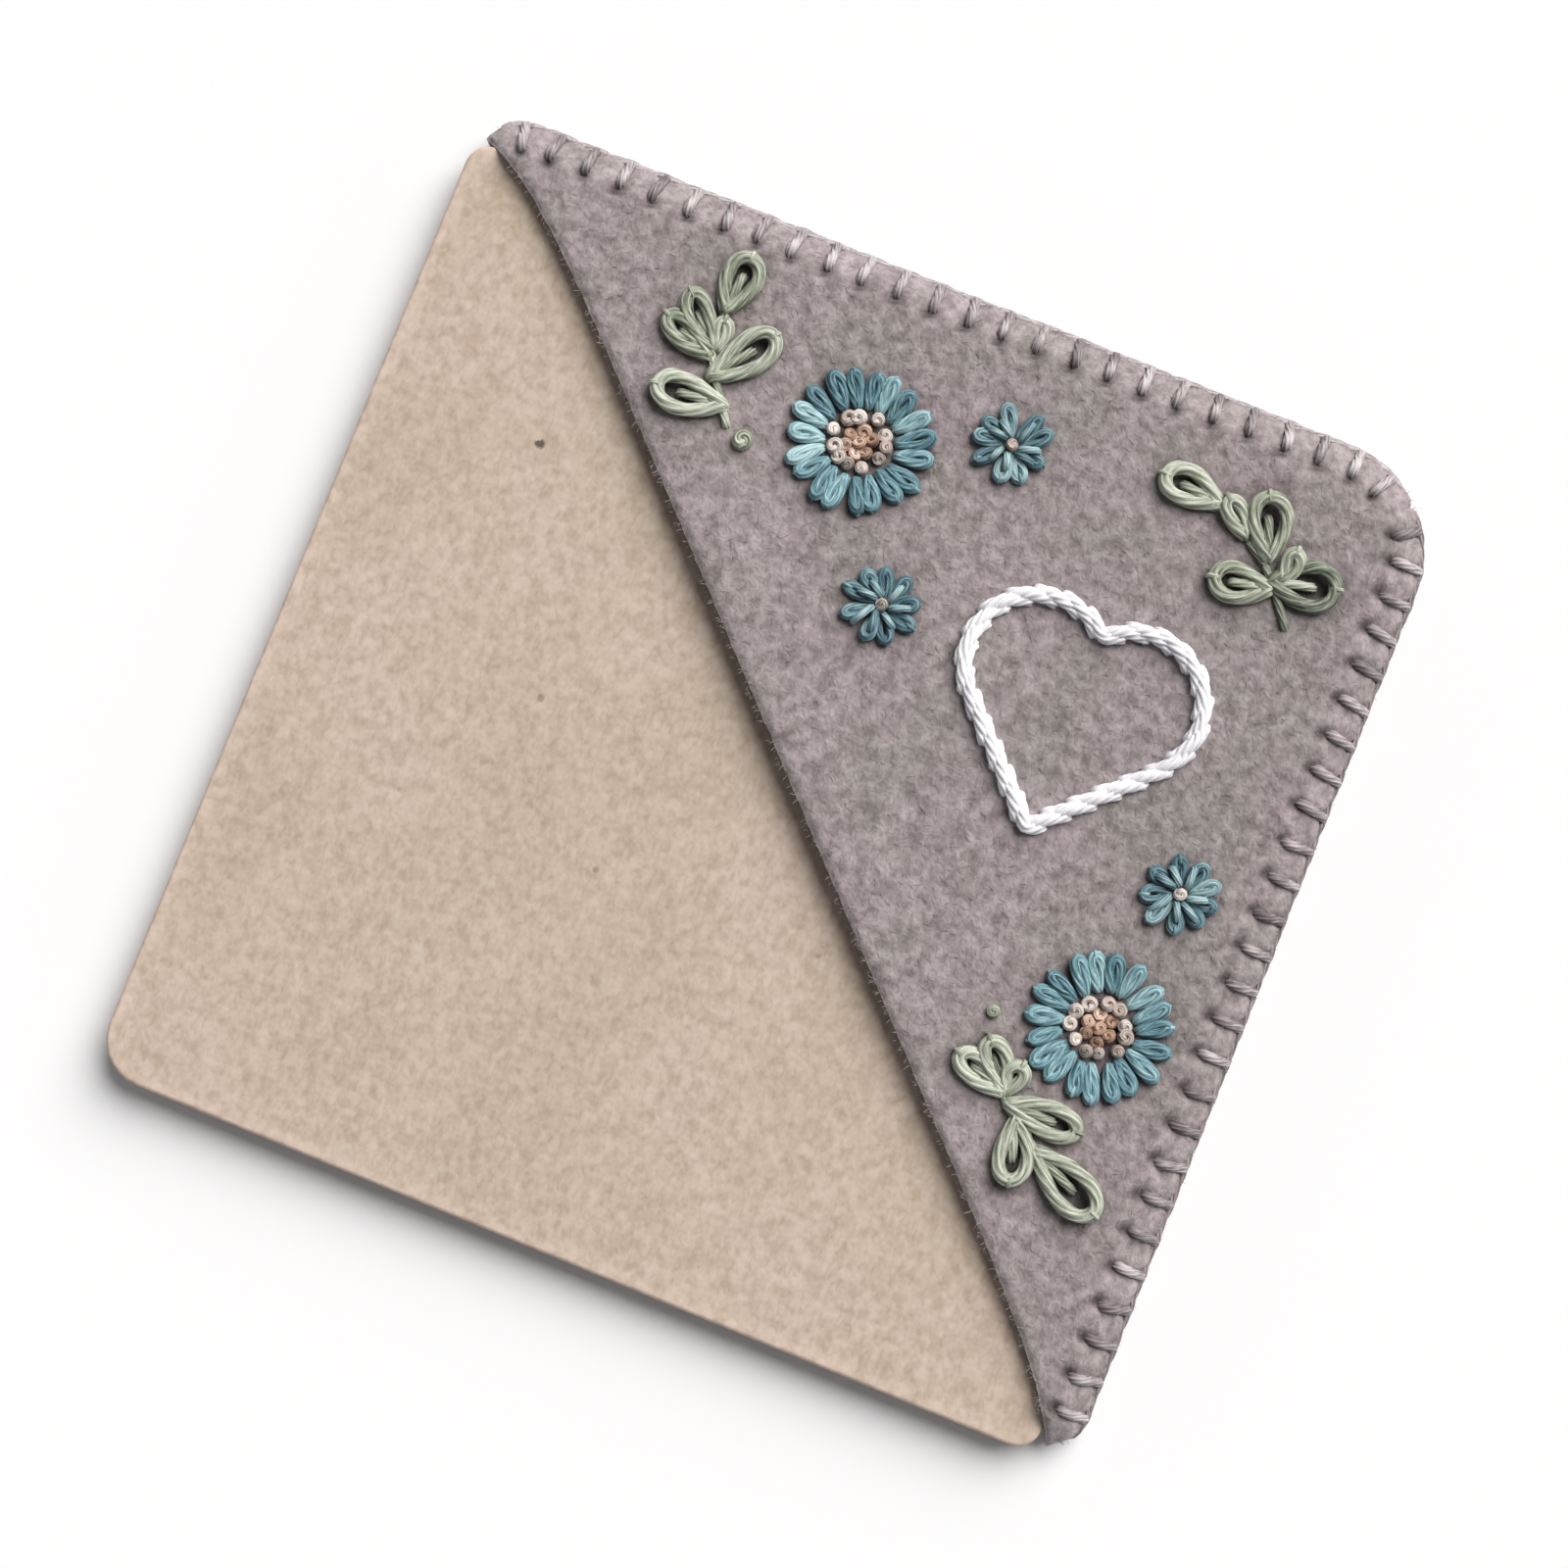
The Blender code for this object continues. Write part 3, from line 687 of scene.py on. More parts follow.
def felt_sheet(top_z, under_z, seed, top_rows, under_rows):
    """A felt triangle as one closed mesh: a grid wrapped round the sheet and welded at the mouth."""
    rows = [("top", row) for row in top_rows] + [("under", row) for row in reversed(under_rows)]
    bm = bmesh.new()
    bmesh.ops.create_grid(bm, x_segments=COLUMNS, y_segments=len(rows), size=1.0)
    # Painted shade for the needle holes and under the stitches, which the felt's material reads.
    painted_shade_layer = bm.verts.layers.float.new("pit")
    for vert in bm.verts:
        along = HALF_MOUTH * math.sin(vert.co.x * CROWDING) / math.sin(CROWDING)
        index = round((vert.co.y + 1) / 2 * len(rows)) % len(rows)
        face, row = rows[index]
        across = across_at(along, row)
        x, y = from_diagonal(along, across)
        edge, outwards = from_leg(x, y)
        near_edge = min(edge, across - mouth_line(along))
        rolled = math.exp(-((near_edge / 0.28) ** 2))
        pull = notch(x, y, edge) - SPREAD * math.exp(-max(edge, 0.0) / 1.5)
        # Cut edges are ragged by a tenth of a millimetre.
        ragged = 0.10 * wobble(x, y, 1.1, seed) + 0.05 * wobble(x, y, 0.45, seed + 5)
        shift = outwards * (ragged * math.exp(-near_edge / 0.5) - pull)
        depth, painted_dark = dent(x, y) if top_z is front_face else (0.0, 0.0)
        groove = bar_groove(x, y, edge)
        if face == "top":
            z = top_z(x, y) - depth - EDGE_ROLL * rolled - GROOVE_DEPTH * groove
            z += sum(height * wobble(x, y, size, seed + kind) for size, height, kind in LUMPS)
        else:
            z = under_z(x, y) + 0.25 * rolled
            z += 0.5 * groove if under_z is back_under else 0.0
        vert.co = (x + shift.x, y + shift.y, z)
        # Painted shade at the needle holes and under the stitches, on the top of the felt only.
        vert[painted_shade_layer] = painted_dark if face == "top" else 0.0
    bmesh.ops.remove_doubles(bm, verts=bm.verts, dist=0.004)
    ends = [e for e in bm.edges if e.is_boundary]
    if ends:
        bmesh.ops.holes_fill(bm, edges=ends, sides=0)
    bmesh.ops.recalc_face_normals(bm, faces=bm.faces)
    return bm


def front_under(x, y):
    """Underside of the front felt."""
    return front_face(x, y) - FELT


def back_top(x, y):
    """Top of the back felt, which rises a little to meet the front at the rim."""
    return FELT + 0.2 * smooth(1 - from_leg(x, y)[0] / 2.5)


def back_under(x, y):
    """Underside of the back felt, just clear of the table."""
    return 0.02


front = felt_sheet(front_face, front_under, 1.0, rows_over(MIDDLE_ROWS), rows_over(UNDER_ROWS))
print("front felt", len(front.verts), "vertices", len([e for e in front.edges if e.is_boundary]), "open")
seat_tree = BVHTree.FromBMesh(front)


def seat(x, y):
    """Height of the finished front felt under a point."""
    hit = seat_tree.ray_cast(Vector((x, y, 30)), Vector((0, 0, -1)))[0]
    return hit.z if hit else RIM_TOP


front_felt = make_piece("felt_front", front, FELT_FINISH, "pocket", ["front_felt"])

# %% [markdown]
# ## The back felt
#
# The back is the same triangle, lying flat on the table under the card, so the same grid makes it.

# %% Back felt
back = felt_sheet(back_top, back_under, 4.0, rows_over(UNDER_ROWS), rows_over(UNDER_ROWS))
back_felt = make_piece("felt_back", back, FELT_FINISH, "pocket", ["back_felt"])

# %% [markdown]
# ## Thread
#
# Stranded cotton is six plies with a slight twist. A thread here is a grid rolled round a centre line:
# its cross-section has six lobes for the plies, it turns slowly as it goes, it is a little flatter
# than it is wide because it is pulled down on the felt, and it narrows where it enters the felt.
# A curve with a round bevel would be quicker, but would have no plies and no twist.


# %% Lines for threads
def even_line(points, spacing):
    """A smooth line through the points (a Catmull-Rom curve), stepped at an even spacing."""
    fine = []
    for k in range(len(points) - 1):
        before, here = points[max(k - 1, 0)], points[k]
        ahead, after = points[k + 1], points[min(k + 2, len(points) - 1)]
        for step in range(6):
            t = step / 6
            bend = 2 * before - 5 * here + 4 * ahead - after
            curl = 3 * here - before - 3 * ahead + after
            fine.append((2 * here + (ahead - before) * t + bend * t * t + curl * t**3) / 2)
    fine.append(points[-1].copy())
    reach = [0.0]
    for here, ahead in zip(fine, fine[1:]):
        reach.append(reach[-1] + (ahead - here).length)
    count = max(4, round(reach[-1] / spacing))
    line = []
    k = 0
    for step in range(count + 1):
        want = reach[-1] * step / count
        while k < len(reach) - 2 and reach[k + 1] < want:
            k += 1
        share = (want - reach[k]) / max(reach[k + 1] - reach[k], 1e-9)
        line.append(fine[k].lerp(fine[k + 1], share))
    return line, reach[-1]


def upright(line):
    """Headings along a line, and a direction square to it that starts upwards and never spins."""
    last = len(line) - 1
    heading = [(line[min(k + 1, last)] - line[max(k - 1, 0)]).normalized() for k in range(last + 1)]
    middle = last // 2
    up = Vector((0, 0, 1))
    ups = [None] * (last + 1)
    ups[middle] = (up - heading[middle] * up.dot(heading[middle])).normalized()
    for k in range(middle + 1, last + 1):
        ups[k] = heading[k - 1].rotation_difference(heading[k]) @ ups[k - 1]
    for k in range(middle - 1, -1, -1):
        ups[k] = heading[k + 1].rotation_difference(heading[k]) @ ups[k + 1]
    return heading, ups


print("a line 10 mm long has", len(even_line([Vector((0, 0, 0)), Vector((10, 0, 0))], 0.26)[0]), "points")

# %% Thread mesh
PLIES = 6
SIDES = 24
PLY_DEPTH = 0.28  # of the thread's radius, between two plies
# Painted shade in the grooves between plies and at a thread's sides; a painted highlight on its crown.
GROOVE_PAINTED_SHADE = 0.10  # how much darker the grooves between the plies are
CROWN_PAINTED_LIGHT = 0.13  # how much paler a thread is on its crown than at its sides
draw = random.Random(SEED)


def new_thread_mesh():
    """An empty mesh with the two attributes that the cotton reads."""
    bm = bmesh.new()
    bm.verts.layers.float_vector.new("fibre")
    bm.verts.layers.float.new("tone")
    return bm


def thread(bm, points, radius, turns=0.12, flat=0.85, glint=0.0, glint_at=0.5, spacing=0.26, ends=0.35):
    """Adds one thread along the points. turns is per millimetre; glint is a painted highlight at one place,
    or a painted shade where it is below zero.
    """
    line, length = even_line(points, spacing)
    count = len(line) - 1
    heading, ups = upright(line)
    fibre = bm.verts.layers.float_vector["fibre"]
    tone = bm.verts.layers.float["tone"]
    own_tone = draw.uniform(-0.13, 0.13)
    own_place = draw.uniform(0, 40)
    own_turn = draw.uniform(0, 2 * math.pi)
    grid = bmesh.ops.create_grid(bm, x_segments=SIDES, y_segments=count, size=1.0)
    for vert in grid["verts"]:
        k = round((vert.co.y + 1) / 2 * count)
        angle = (vert.co.x + 1) * math.pi
        gone = length * k / count
        nearest_end = min(gone, length - gone)
        taper = math.sqrt(min(max(nearest_end, 0.0) / ends, 1.0))
        groove = 1 - abs(math.cos(PLIES / 2 * angle))
        lobe = 1 - PLY_DEPTH * groove
        size = radius * taper * lobe
        swing = angle + own_turn + 2 * math.pi * turns * gone
        side = heading[k].cross(ups[k])
        vert.co = line[k] + side * (math.cos(swing) * size) + ups[k] * (math.sin(swing) * size * flat)
        vert[fibre] = Vector((math.cos(angle) * 1.6, math.sin(angle) * 1.6, gone * 0.25 + own_place))
        # The stitch's own random tone, plus painted light: a glint, a paler crown, darker sides and grooves.
        shine = glint * math.exp(-(((gone / length - glint_at) / 0.09) ** 2))
        crown_painted_light = CROWN_PAINTED_LIGHT * (math.sin(swing) - 0.6)
        vert[tone] = own_tone + shine + crown_painted_light + GROOVE_PAINTED_SHADE * (0.35 - groove)


def finish_thread(bm, name, finish, stands_for):
    """Welds each thread's seam and ends, and makes the piece."""
    bmesh.ops.remove_doubles(bm, verts=bm.verts, dist=0.001)
    bmesh.ops.recalc_face_normals(bm, faces=bm.faces)
    return make_piece(name, bm, finish, "pocket", stands_for, sharp=75)


def on_felt(place, height):
    """A point some height above the front felt."""
    return Vector((place.x, place.y, seat(place.x, place.y) + height))


print("a thread has", PLIES, "plies")

# %% [markdown]
# ## Embroidery stitches
#
# The motifs are made of four hand stitches. A straight stitch dips into the felt at both ends. A lazy
# daisy is a loop held at its tip by a tiny stitch, and makes a petal or a leaf. A French knot is a coil
# of thread wound round the needle, with a dimple in its middle. Stem stitch is a row of slanting
# stitches that overlap like the strands of a rope. Each function returns a centre line for a thread.


# %% Stitch helpers
def straight(start, end, radius, arch=0.15, sink=0.7, bow=0.0, lift=0.0):
    """Centre line of a stitch from start to end."""
    start, end = Vector(start), Vector(end)
    run = end - start
    aside = Vector((-run.y, run.x)).normalized()
    steps = max(3, round(run.length / 0.7))
    points = [on_felt(start, -sink)]
    for k in range(steps + 1):
        t = k / steps
        hump = 4 * t * (1 - t)
        place = start + run * (0.05 + 0.90 * t) + aside * bow * hump
        points.append(on_felt(place, radius * 0.65 + lift + arch * hump))
    points.append(on_felt(end, -sink))
    return points


def daisy_loop(foot, tip, half, radius, arch=0.12, lean=0.0, sink=0.5):
    """Centre line of a loop from its foot round its tip and back, half wide on each side."""
    foot, tip = Vector(foot), Vector(tip)
    run = tip - foot
    aside = Vector((-run.y, run.x)).normalized()
    points = [on_felt(foot, -sink)]
    for k in range(19):
        turn = 2 * math.pi * (0.035 + 0.93 * k / 18)
        ahead = (1 - math.cos(turn)) / 2
        out_by = math.sin(turn) * math.sin(turn / 2) / 0.77 * half
        out_by += lean * math.sin(ahead * math.pi)
        place = foot + run * ahead + aside * out_by
        points.append(on_felt(place, radius * 0.7 + arch * ahead))
    points.append(on_felt(foot, -sink))
    return points


def french_knot(centre, size, radius, rise=0.35, turns=1.8, tilt=0.0):
    """Centre line of a coil of outer radius size, leaning over, which ends down in its own middle."""
    centre = Vector(centre)
    start = draw.uniform(0, 2 * math.pi)
    leaning = draw.uniform(0, 2 * math.pi)
    steps = round(turns * 14)
    base = seat(*centre)
    points = []
    for k in range(steps + 1):
        share = k / steps
        angle = start + 2 * math.pi * turns * share
        reach = (size - radius) * (1.0 - 0.18 * share)
        place = centre + Vector((math.cos(angle), math.sin(angle))) * reach
        sunk = 0.5 * max(0.0, 1 - share * 5)
        slope = tilt * math.cos(angle - leaning) * reach
        points.append(Vector((*place, base + radius * 0.6 + rise * smooth(share) + slope - sunk)))
    inner = centre + Vector((math.cos(angle + 0.9), math.sin(angle + 0.9))) * (size - radius) * 0.35
    points.append(Vector((*inner, base + rise * 0.8 + radius * 0.5)))
    points.append(Vector((*inner, base - 0.4)))
    return points


print("stitches: straight, daisy_loop, french_knot")

# %% [markdown]
# ## Flowers
#
# A large flower is nineteen narrow daisy loops in a ring, round eleven pale knots and seven peach ones.
# A small flower is nine short loops, with seven straight stitches laid over them and one knot in its
# middle. No two loops are alike in handwork, so each is turned, lengthened and widened a little by a
# seeded draw.

# %% Flower petals
PETAL_HALF = 0.38  # half the width of a loop, between the middles of its threads
LARGE_RING = (3.1, 6.25)  # foot and tip of the petals, from the flower's centre
LARGE_COUNT = 19
LARGE_RADIUS = 0.46
SMALL_RING = (0.8, 3.5)
SMALL_COUNT = 9
SMALL_RADIUS = 0.40
OVER_COUNT = 7
OVER_RADIUS = 0.3


def polar(centre, angle, reach):
    """The point at an angle and a reach from a centre."""
    return Vector(centre) + Vector((math.cos(angle), math.sin(angle))) * reach


def petal_ring(bm, centre, ring, count, radius, jitter):
    """A ring of daisy loops, each tied down at its tip; jitter is a share of the pitch."""
    first = draw.uniform(0, 2 * math.pi)
    for k in range(count):
        angle = first + 2 * math.pi * (k + draw.uniform(-jitter, jitter)) / count
        swing = draw.uniform(-0.05, 0.05)
        foot = polar(centre, angle - swing, ring[0] + draw.uniform(-0.15, 0.15))
        tip = polar(centre, angle + swing, ring[1] - radius + draw.uniform(-0.3, 0.15))
        half = PETAL_HALF * draw.uniform(0.8, 1.2)
        line = daisy_loop(foot, tip, half, radius, arch=draw.uniform(0.1, 0.35))
        thread(bm, line, radius * draw.uniform(0.92, 1.05), turns=0.1)
        held = tip + (tip - foot).normalized() * radius * 0.7
        inner = tip - (tip - foot).normalized() * 0.5
        thread(bm, straight(inner, held, radius * 0.4, arch=0.2, lift=0.42), radius * 0.36)


for number, centre in enumerate(LARGE_FLOWERS, 1):
    petals = new_thread_mesh()
    petal_ring(petals, centre, LARGE_RING, LARGE_COUNT, LARGE_RADIUS, 0.12)
    node = f"large_flower_{number}_petals"
    finish_thread(petals, f"large_flower_{number}_daisy_loops", TEAL, [node])

for number, centre in enumerate(SMALL_FLOWERS, 1):
    petals = new_thread_mesh()
    petal_ring(petals, centre, SMALL_RING, SMALL_COUNT, SMALL_RADIUS, 0.22)
    for k in range(OVER_COUNT):
        angle = 2 * math.pi * (k + draw.uniform(-0.3, 0.3)) / OVER_COUNT
        start, end = polar(centre, angle, 0.7), polar(centre, angle + 0.3, draw.uniform(2.0, 2.9))
        over = straight(start, end, OVER_RADIUS, arch=0.3, lift=draw.uniform(0.4, 0.75))
        # A faint painted highlight on each laid stitch.
        thread(petals, over, OVER_RADIUS, glint=0.12)
    node = f"small_flower_{number}_petals"
    finish_thread(petals, f"small_flower_{number}_daisy_loops", DEEP_TEAL, [node])

# %% Flower knots
KNOT_RADIUS = 0.28
KNOT_SPACING = 0.2  # of the rings along a knot's thread, closer than along a stitch
PALE_KNOTS = 11
PALE_REACH = 2.2  # of the pale ring, from the flower's centre
PEACH_KNOTS = 6  # in a ring, with one more in the middle
PEACH_REACH = 1.1
MIDDLE_SIZE = 0.62


def loose_knot(place):
    """A knot of a loose turn or two, leaning over a little, with its middle closed."""
    size = draw.uniform(0.60, 0.78)
    rise = draw.uniform(0.35, 0.65)
    turns = draw.uniform(1.2, 1.9)
    return french_knot(place, size, KNOT_RADIUS, rise=rise, turns=turns, tilt=draw.uniform(0.1, 0.6))


def knot_ring(centre, first, count, reach, jitter, spread):
    """A mesh of knots in a ring; jitter is a share of the pitch, and spread is how far in and out."""
    bm = new_thread_mesh()
    for k in range(count):
        angle = first + 2 * math.pi * (k + draw.uniform(-jitter, jitter)) / count
        place = polar(centre, angle, reach + draw.uniform(*spread))
        thread(bm, loose_knot(place), KNOT_RADIUS, spacing=KNOT_SPACING)
    return bm


for number, centre in enumerate(LARGE_FLOWERS, 1):
    name = f"large_flower_{number}"
    first = draw.uniform(0, 2 * math.pi)
    outer = knot_ring(centre, first, PALE_KNOTS, PALE_REACH, 0.2, (-0.25, 0.2))
    finish_thread(outer, f"{name}_pale_knots", BLUSH, [f"{name}_knots"])
    inner = knot_ring(centre, first + 0.4, PEACH_KNOTS, PEACH_REACH, 0.15, (-0.2, 0.1))
    thread(inner, loose_knot(centre), KNOT_RADIUS, spacing=KNOT_SPACING)
    finish_thread(inner, f"{name}_peach_knots", PEACH, [])

for number, centre in enumerate(SMALL_FLOWERS, 1):
    middle = new_thread_mesh()
    knot = french_knot(centre, MIDDLE_SIZE, KNOT_RADIUS, rise=1.0, tilt=0.3)
    thread(middle, knot, KNOT_RADIUS, spacing=KNOT_SPACING)
    name = f"small_flower_{number}"
    finish_thread(middle, f"{name}_middle", BLUSH, [f"{name}_knot"])

# %% [markdown]
# ## Leaf sprigs
#
# A sprig is a stem of short straight stitches with daisy loops for leaves. The loops are fat, so their
# threads touch near the foot and leave a dark gap near the tip, and the wider ones have a straight
# stitch laid inside them. A bud is one French knot of thick thread, wound so tight that it closes.

# %% Leaves and stems
LEAF_RADIUS = 0.60
STEM_RADIUS = 0.34
INSIDE_RADIUS = 0.4
TIE_RADIUS = 0.22
WIDE_LEAF = 2.7  # and over: these have a stitch inside

for number, (stem, leaves) in enumerate(SPRIGS, 1):
    sprig = new_thread_mesh()
    for start, end in zip(stem, stem[1:]):
        thread(sprig, straight(start, end, STEM_RADIUS, arch=0.1), STEM_RADIUS)
    for index, (foot, tip, width) in enumerate(leaves):
        foot, tip = Vector(foot), Vector(tip)
        ahead = (tip - foot).normalized()
        end = tip - ahead * LEAF_RADIUS
        half = width / 2 - LEAF_RADIUS
        arch = 0.25 + 0.15 * (index % 3)
        line = daisy_loop(foot, end, half, LEAF_RADIUS, arch=arch, lean=draw.uniform(-0.15, 0.15))
        thread(sprig, line, LEAF_RADIUS, turns=0.07, flat=0.95)
        if width > WIDE_LEAF:
            inside = straight(foot.lerp(tip, 0.1), foot.lerp(tip, 0.62), INSIDE_RADIUS, arch=0.3, lift=0.1)
            thread(sprig, inside, INSIDE_RADIUS)
        start = end - ahead * 0.35
        held = straight(start, tip - ahead * 0.05, TIE_RADIUS, arch=0.25, lift=0.45 + arch)
        thread(sprig, held, TIE_RADIUS - 0.01)
    finish_thread(sprig, f"leaf_sprig_{number}_loops", SAGE, [f"leaf_sprig_{number}"])

# %% Buds
for number, (centre, size) in enumerate(zip(BUDS, BUD_SIZES), 1):
    bud = new_thread_mesh()
    knot = french_knot(centre, size, size / 2, rise=0.25, turns=1.3)
    # A painted highlight near the end of the bud's coil.
    thread(bud, knot, size / 2, glint=0.15, glint_at=0.75, spacing=KNOT_SPACING)
    finish_thread(bud, f"bud_{number}_knot", SAGE, [f"bud_knot_{number}"])

# %% [markdown]
# ## The heart
#
# The heart is worked in stem stitch with thick white thread. Each stitch starts half way along the last
# one and slants across the line, so that the row looks like a rope.


# %% Outline of the heart
def heart_outline():
    """A square on its corner with a half circle on each upper side, as points in order."""
    q = HEART_HALF
    points = []
    for step in range(11):
        angle = math.radians(135 - 18 * step)
        reach = q / ROOT2
        points.append(Vector((q / 2 + reach * math.cos(angle), q / 2 + reach * math.sin(angle))))
    points += [Vector((q * (1 - k / 4), -q * k / 4)) for k in range(1, 5)]
    mirrored = [Vector((-p.x, p.y)) for p in reversed(points[1:-1])]
    return [p + Vector(HEART_CENTRE) for p in points + mirrored + points[:1]]


heart_points = heart_outline()
heart_reach = [0.0]
for here, ahead in zip(heart_points, heart_points[1:]):
    heart_reach.append(heart_reach[-1] + (ahead - here).length)


def along_heart(distance):
    """The point of the outline that lies a distance along it."""
    distance %= heart_reach[-1]
    k = max(i for i, d in enumerate(heart_reach[:-1]) if d <= distance)
    share = (distance - heart_reach[k]) / (heart_reach[k + 1] - heart_reach[k])
    return heart_points[k].lerp(heart_points[k + 1], share)


print("the heart's outline is", round(heart_reach[-1], 1), "mm long")

# %% Stem stitches of the heart
STEM_STEP = 2.2
STEM_LENGTH = 3.7
STEM_SLANT = 0.36
HEART_RADIUS = 0.58


def stem_stitch(start):
    """Centre line of a slanting stitch that humps up and dips into the felt at both ends."""
    points = []
    for step in range(7):
        t = step / 6
        here = along_heart(start + STEM_LENGTH * t)
        ahead = (along_heart(start + STEM_LENGTH * t + 0.2) - here).normalized()
        aside = Vector((-ahead.y, ahead.x)) * (STEM_SLANT * (1 - 2 * t))
        height = HEART_RADIUS * 0.5 + 0.34 * math.sin(math.pi * min(t * 1.1, 1.0))
        points.append(on_felt(here + aside, height))
    return [points[0] - Vector((0, 0, 0.9)), *points, points[-1] - Vector((0, 0, 1.2))]


heart = new_thread_mesh()
count = round(heart_reach[-1] / STEM_STEP)
for k in range(count):
    stitch = stem_stitch(heart_reach[-1] * k / count)
    thread(heart, stitch, HEART_RADIUS * draw.uniform(0.93, 1.05), turns=0.16, flat=0.85)
finish_thread(heart, "heart_stem_stitch", WHITE, ["heart_outline"])

# %% [markdown]
# ## Blanket stitch
#
# Each stitch goes through both felts a little way in, wraps round the cut edges, and is caught by the
# next one, so a run of thread also lies along the edge. The bar is a thread bent over the rim from its
# hole in the front to its hole in the back, and the edge run is one long thread that hugs the edge
# between the bars and swings out round each of them.

# %% Blanket stitch threads
BLANKET_RADIUS = 0.42
EDGE_HEIGHT = 1.7  # of the run along the edge
MOUTH_END = -TIP_CENTRE - TIP_R * math.pi / 4
CORNER_STEP = CENTRE + CORNER_R * math.pi / 4


def blanket_bar(step, side):
    """Centre line over the rim from the front hole to the back hole."""
    hole = STITCH_BITE + draw.uniform(-0.12, 0.12)
    lean = draw.uniform(-0.15, 0.15)
    over_front = [(hole, -0.9), (hole - 0.04, -0.1), (hole - 0.35, 0.36), (hole - 0.8, 0.5)]
    over_front += [(hole - 1.3, 0.4), (0.15, 0.2)]
    round_back = [(-0.42, 2.1), (-0.5, 1.4), (-0.25, 0.6), (0.3, 0.36), (1.2, 0.34), (hole, 0.6)]
    points = []
    for inset, height in over_front:
        place = rim_point(step + lean * inset, inset, side)
        points.append(Vector((*place, seat(*place) + height)))
    for inset, z in round_back:
        place = rim_point(step + lean * inset, inset, side)
        points.append(Vector((*place, z)))
    return points


for name, leg, side in (("top", TOP_LEG, False), ("side", SIDE_LEG, True)):
    stitches = new_thread_mesh()
    for step in leg:
        # A painted highlight on the crown of each bar, fainter on the side leg; below zero it is a painted
        # shade.
        painted_glint = draw.uniform(-0.15, 0.12) if side else draw.uniform(-0.06, 0.26)
        bar = blanket_bar(step, side)
        thread(stitches, bar, BLANKET_RADIUS, glint=painted_glint, glint_at=0.22, spacing=0.28)
    run = [Vector((*rim_point(MOUTH_END, 0.5, side), 1.5))]
    for k in range(-1, 2 * len(leg) - 1):
        step = max(leg[0] + STITCH_PITCH * k / 2, MOUTH_END)
        inset = -0.48 if k % 2 == 0 else -0.40
        place = rim_point(step, inset + draw.uniform(-0.04, 0.04), side)
        run.append(Vector((*place, EDGE_HEIGHT + draw.uniform(-0.15, 0.15))))
    run.append(Vector((*rim_point(CORNER_STEP, -0.42, side), EDGE_HEIGHT)))
    thread(stitches, run, BLANKET_RADIUS, spacing=0.5)
    node = f"blanket_stitch_{name}_leg"
    finish_thread(stitches, f"blanket_thread_{name}_leg", TAUPE, [node])

# %% [markdown]
# ## Fuzz on the felt
#
# Pressed fibre has loose ends that stand off its skin, most of all along a cut edge, and they make its
# outline soft. A hair system could grow them, but the export keeps only meshes. One long narrow grid
# holds every fibre: five rows each make a three-sided tube with pointed ends, and the faces between
# one fibre and the next are deleted.

# %% Where the loose fibres stand
FACE_FIBRES = 2200
RIM_FIBRES = 1500
MOUTH_FIBRES = 500


def loose_way(outwards, rise):
    """A unit direction near outwards that also climbs a little."""
    turn = Matrix.Rotation(draw.uniform(-0.9, 0.9), 2)
    flat_way = turn @ outwards
    return Vector((flat_way.x, flat_way.y, draw.uniform(*rise))).normalized()


def fuzz_roots():
    """Where each fibre starts, where it points, its length and its bend."""
    roots = []
    while len(roots) < FACE_FIBRES:
        x, y = draw.uniform(-FELT_EDGE, FELT_EDGE), draw.uniform(-FELT_EDGE, FELT_EDGE)
        along, across = to_diagonal(x, y)
        if mouth_line(along) + 0.3 < across < felt_outline(along) - 0.6:
            angle = draw.uniform(0, 2 * math.pi)
            way = loose_way(Vector((math.cos(angle), math.sin(angle))), (0.05, 0.4))
            roots.append((Vector((x, y, seat(x, y) - 0.02)), way, draw.uniform(0.5, 1.1)))
    for k in range(RIM_FIBRES):
        side = k % 2 == 1
        step = draw.uniform(MOUTH_END, CORNER_STEP)
        place = Vector(rim_point(step, -0.1, side))
        outwards = place - Vector(rim_point(step, 1.0, side))
        way = loose_way(outwards.normalized(), (-0.1, 0.8))
        roots.append((Vector((*place, draw.uniform(0.3, 2.3))), way, draw.uniform(0.4, 1.0)))
    for k in range(MOUTH_FIBRES):
        along = draw.uniform(-0.97, 0.97) * HALF_MOUTH
        place = Vector(from_diagonal(along, mouth_line(along) + 0.08))
        height = front_face(*place) - draw.uniform(0.2, FELT - 0.2)
        way = loose_way(Vector((-1, -1)).normalized(), (0.1, 0.7))
        roots.append((Vector((*place, height)), way, draw.uniform(0.3, 0.8)))
    return roots


fibre_roots = fuzz_roots()
print(len(fibre_roots), "loose fibres")

# %% Fuzz mesh
FIBRE_RADIUS = 0.022  # real fibres are about half as wide
FIBRE_ROWS = 5


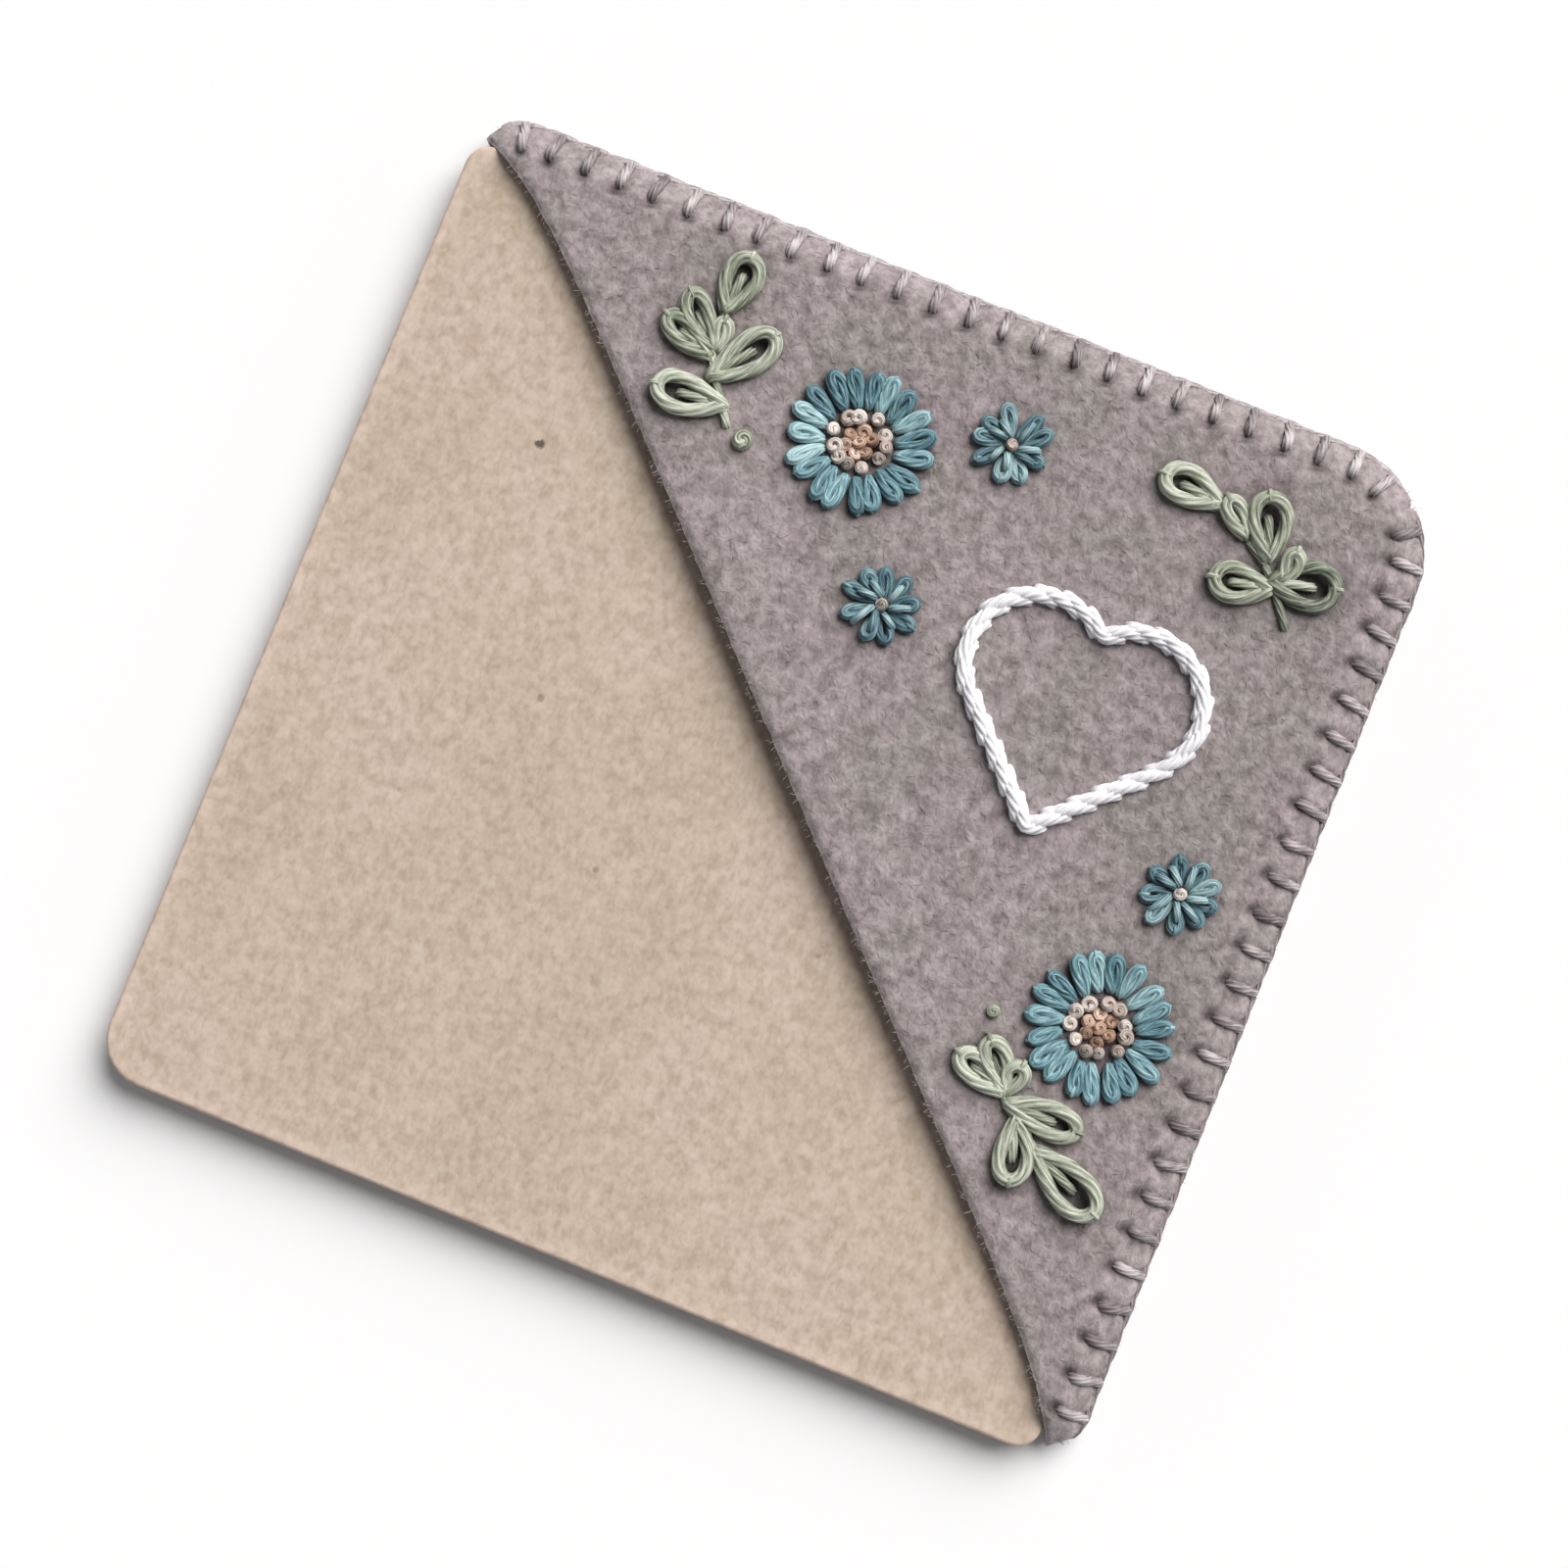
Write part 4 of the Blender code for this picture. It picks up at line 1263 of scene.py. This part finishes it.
def fuzz_mesh(roots):
    """Every fibre as a thin tube with pointed ends, in one mesh."""
    bm = bmesh.new()
    last_row = FIBRE_ROWS * len(roots) - 1
    bmesh.ops.create_grid(bm, x_segments=3, y_segments=last_row, size=1.0)
    row_of = {vert: round((vert.co.y + 1) / 2 * last_row) for vert in bm.verts}
    bends = [draw.uniform(-0.5, 0.5) for _ in roots]
    between = [f for f in bm.faces if min(row_of[v] for v in f.verts) % FIBRE_ROWS == FIBRE_ROWS - 1]
    bmesh.ops.delete(bm, geom=between, context="FACES")
    for vert in bm.verts:
        number, step = divmod(row_of[vert], FIBRE_ROWS)
        root, way, length = roots[number]
        t = step / (FIBRE_ROWS - 1)
        angle = (vert.co.x + 1) * math.pi
        size = FIBRE_RADIUS * math.sqrt(max(1 - (2 * t - 1) ** 2, 0.0))
        side = way.cross(Vector((0, 0, 1))).normalized()
        up = side.cross(way)
        centre = root + way * length * t + side * bends[number] * length * t * t
        vert.co = centre + side * math.cos(angle) * size + up * math.sin(angle) * size
    bmesh.ops.remove_doubles(bm, verts=bm.verts, dist=0.0005)
    bmesh.ops.recalc_face_normals(bm, faces=bm.faces)
    return bm


make_piece("felt_fuzz", fuzz_mesh(fibre_roots), FELT_FINISH, "pocket", [])

# %% [markdown]
# ## The card
#
# The card is a square of kraft board, die cut with rounded corners. A cube takes its size from the
# frame, its upright edges are bevelled to the corner radii, and its rims are rounded. Its two faces are
# then inset three times, so that the `edge` attribute can fade from the pale rim to the plain face.

# %% Block of the card
NEAR_CORNER = 39  # an upright edge further out than this both ways is at a corner of the card
MANY = 20  # a face with more corners than this is the card's top or bottom

card = bmesh.new()
bmesh.ops.create_cube(card, size=1.0)
span = card_high - card_low
bmesh.ops.scale(card, verts=card.verts, vec=span)
bmesh.ops.translate(card, verts=card.verts, vec=(card_low + card_high) / 2)
radii = {(-1, -1): CARD_OPEN_R, (1, -1): CARD_TIP_R, (-1, 1): CARD_TIP_R, (1, 1): CARD_R}
for where, radius in radii.items():
    corners = []
    for edge in card.edges:
        a, b = [v.co for v in edge.verts]
        signs = (math.copysign(1, a.x), math.copysign(1, a.y))
        if abs(a.z - b.z) > 1 and min(abs(a.x), abs(a.y)) > NEAR_CORNER and signs == where:
            corners.append(edge)
    bmesh.ops.bevel(
        card, geom=corners, offset=radius, segments=14, profile=0.5, affect="EDGES", material=-1
    )
rims = [e for e in card.edges if any(len(f.verts) > MANY for f in e.link_faces)]
bmesh.ops.bevel(card, geom=rims, offset=0.32, segments=4, profile=0.5, affect="EDGES", material=-1)
print("card with rounded corners", len(card.verts), "vertices")

# %% Paler rims of the card
pale_rim_layer = card.verts.layers.float.new("edge")
cut = card.verts.layers.float.new("cut")
for vert in card.verts:
    vert[pale_rim_layer] = 0.8
    vert[cut] = 0.6
for depth, amount in ((0.3, 0.55), (0.45, 0.2), (0.6, 0.0)):
    faces = [f for f in card.faces if len(f.verts) > MANY]
    before = set(card.verts)
    bmesh.ops.inset_individual(card, faces=faces, thickness=depth, use_even_offset=True)
    for vert in card.verts:
        if vert not in before:
            vert[pale_rim_layer] = amount
            vert[cut] = 0.0
bmesh.ops.recalc_face_normals(card, faces=card.faces)
make_piece("kraft_card_board", card, KRAFT, "card", ["kraft_card"], sharp=50)

# %% [markdown]

# %% [markdown]
# ## The floor
#
# A plain pale surface that the object lies on, wide enough for a view from almost level.

# %% Floor
paper, paper_tree, paper_shader = start_material("matt_white_paper", 0.9)
paper_shader.inputs["Base Color"].default_value = colour("#F7F7F8")
bm = bmesh.new()
bmesh.ops.create_circle(bm, cap_ends=True, segments=96, radius=6.0)
floor_mesh = bpy.data.meshes.new("floor")
bm.to_mesh(floor_mesh)
bm.free()
floor = bpy.data.objects.new("floor", floor_mesh)
floor.data.materials.append(paper)
scene.collection.objects.link(floor)
print("floor", floor.dimensions[:])
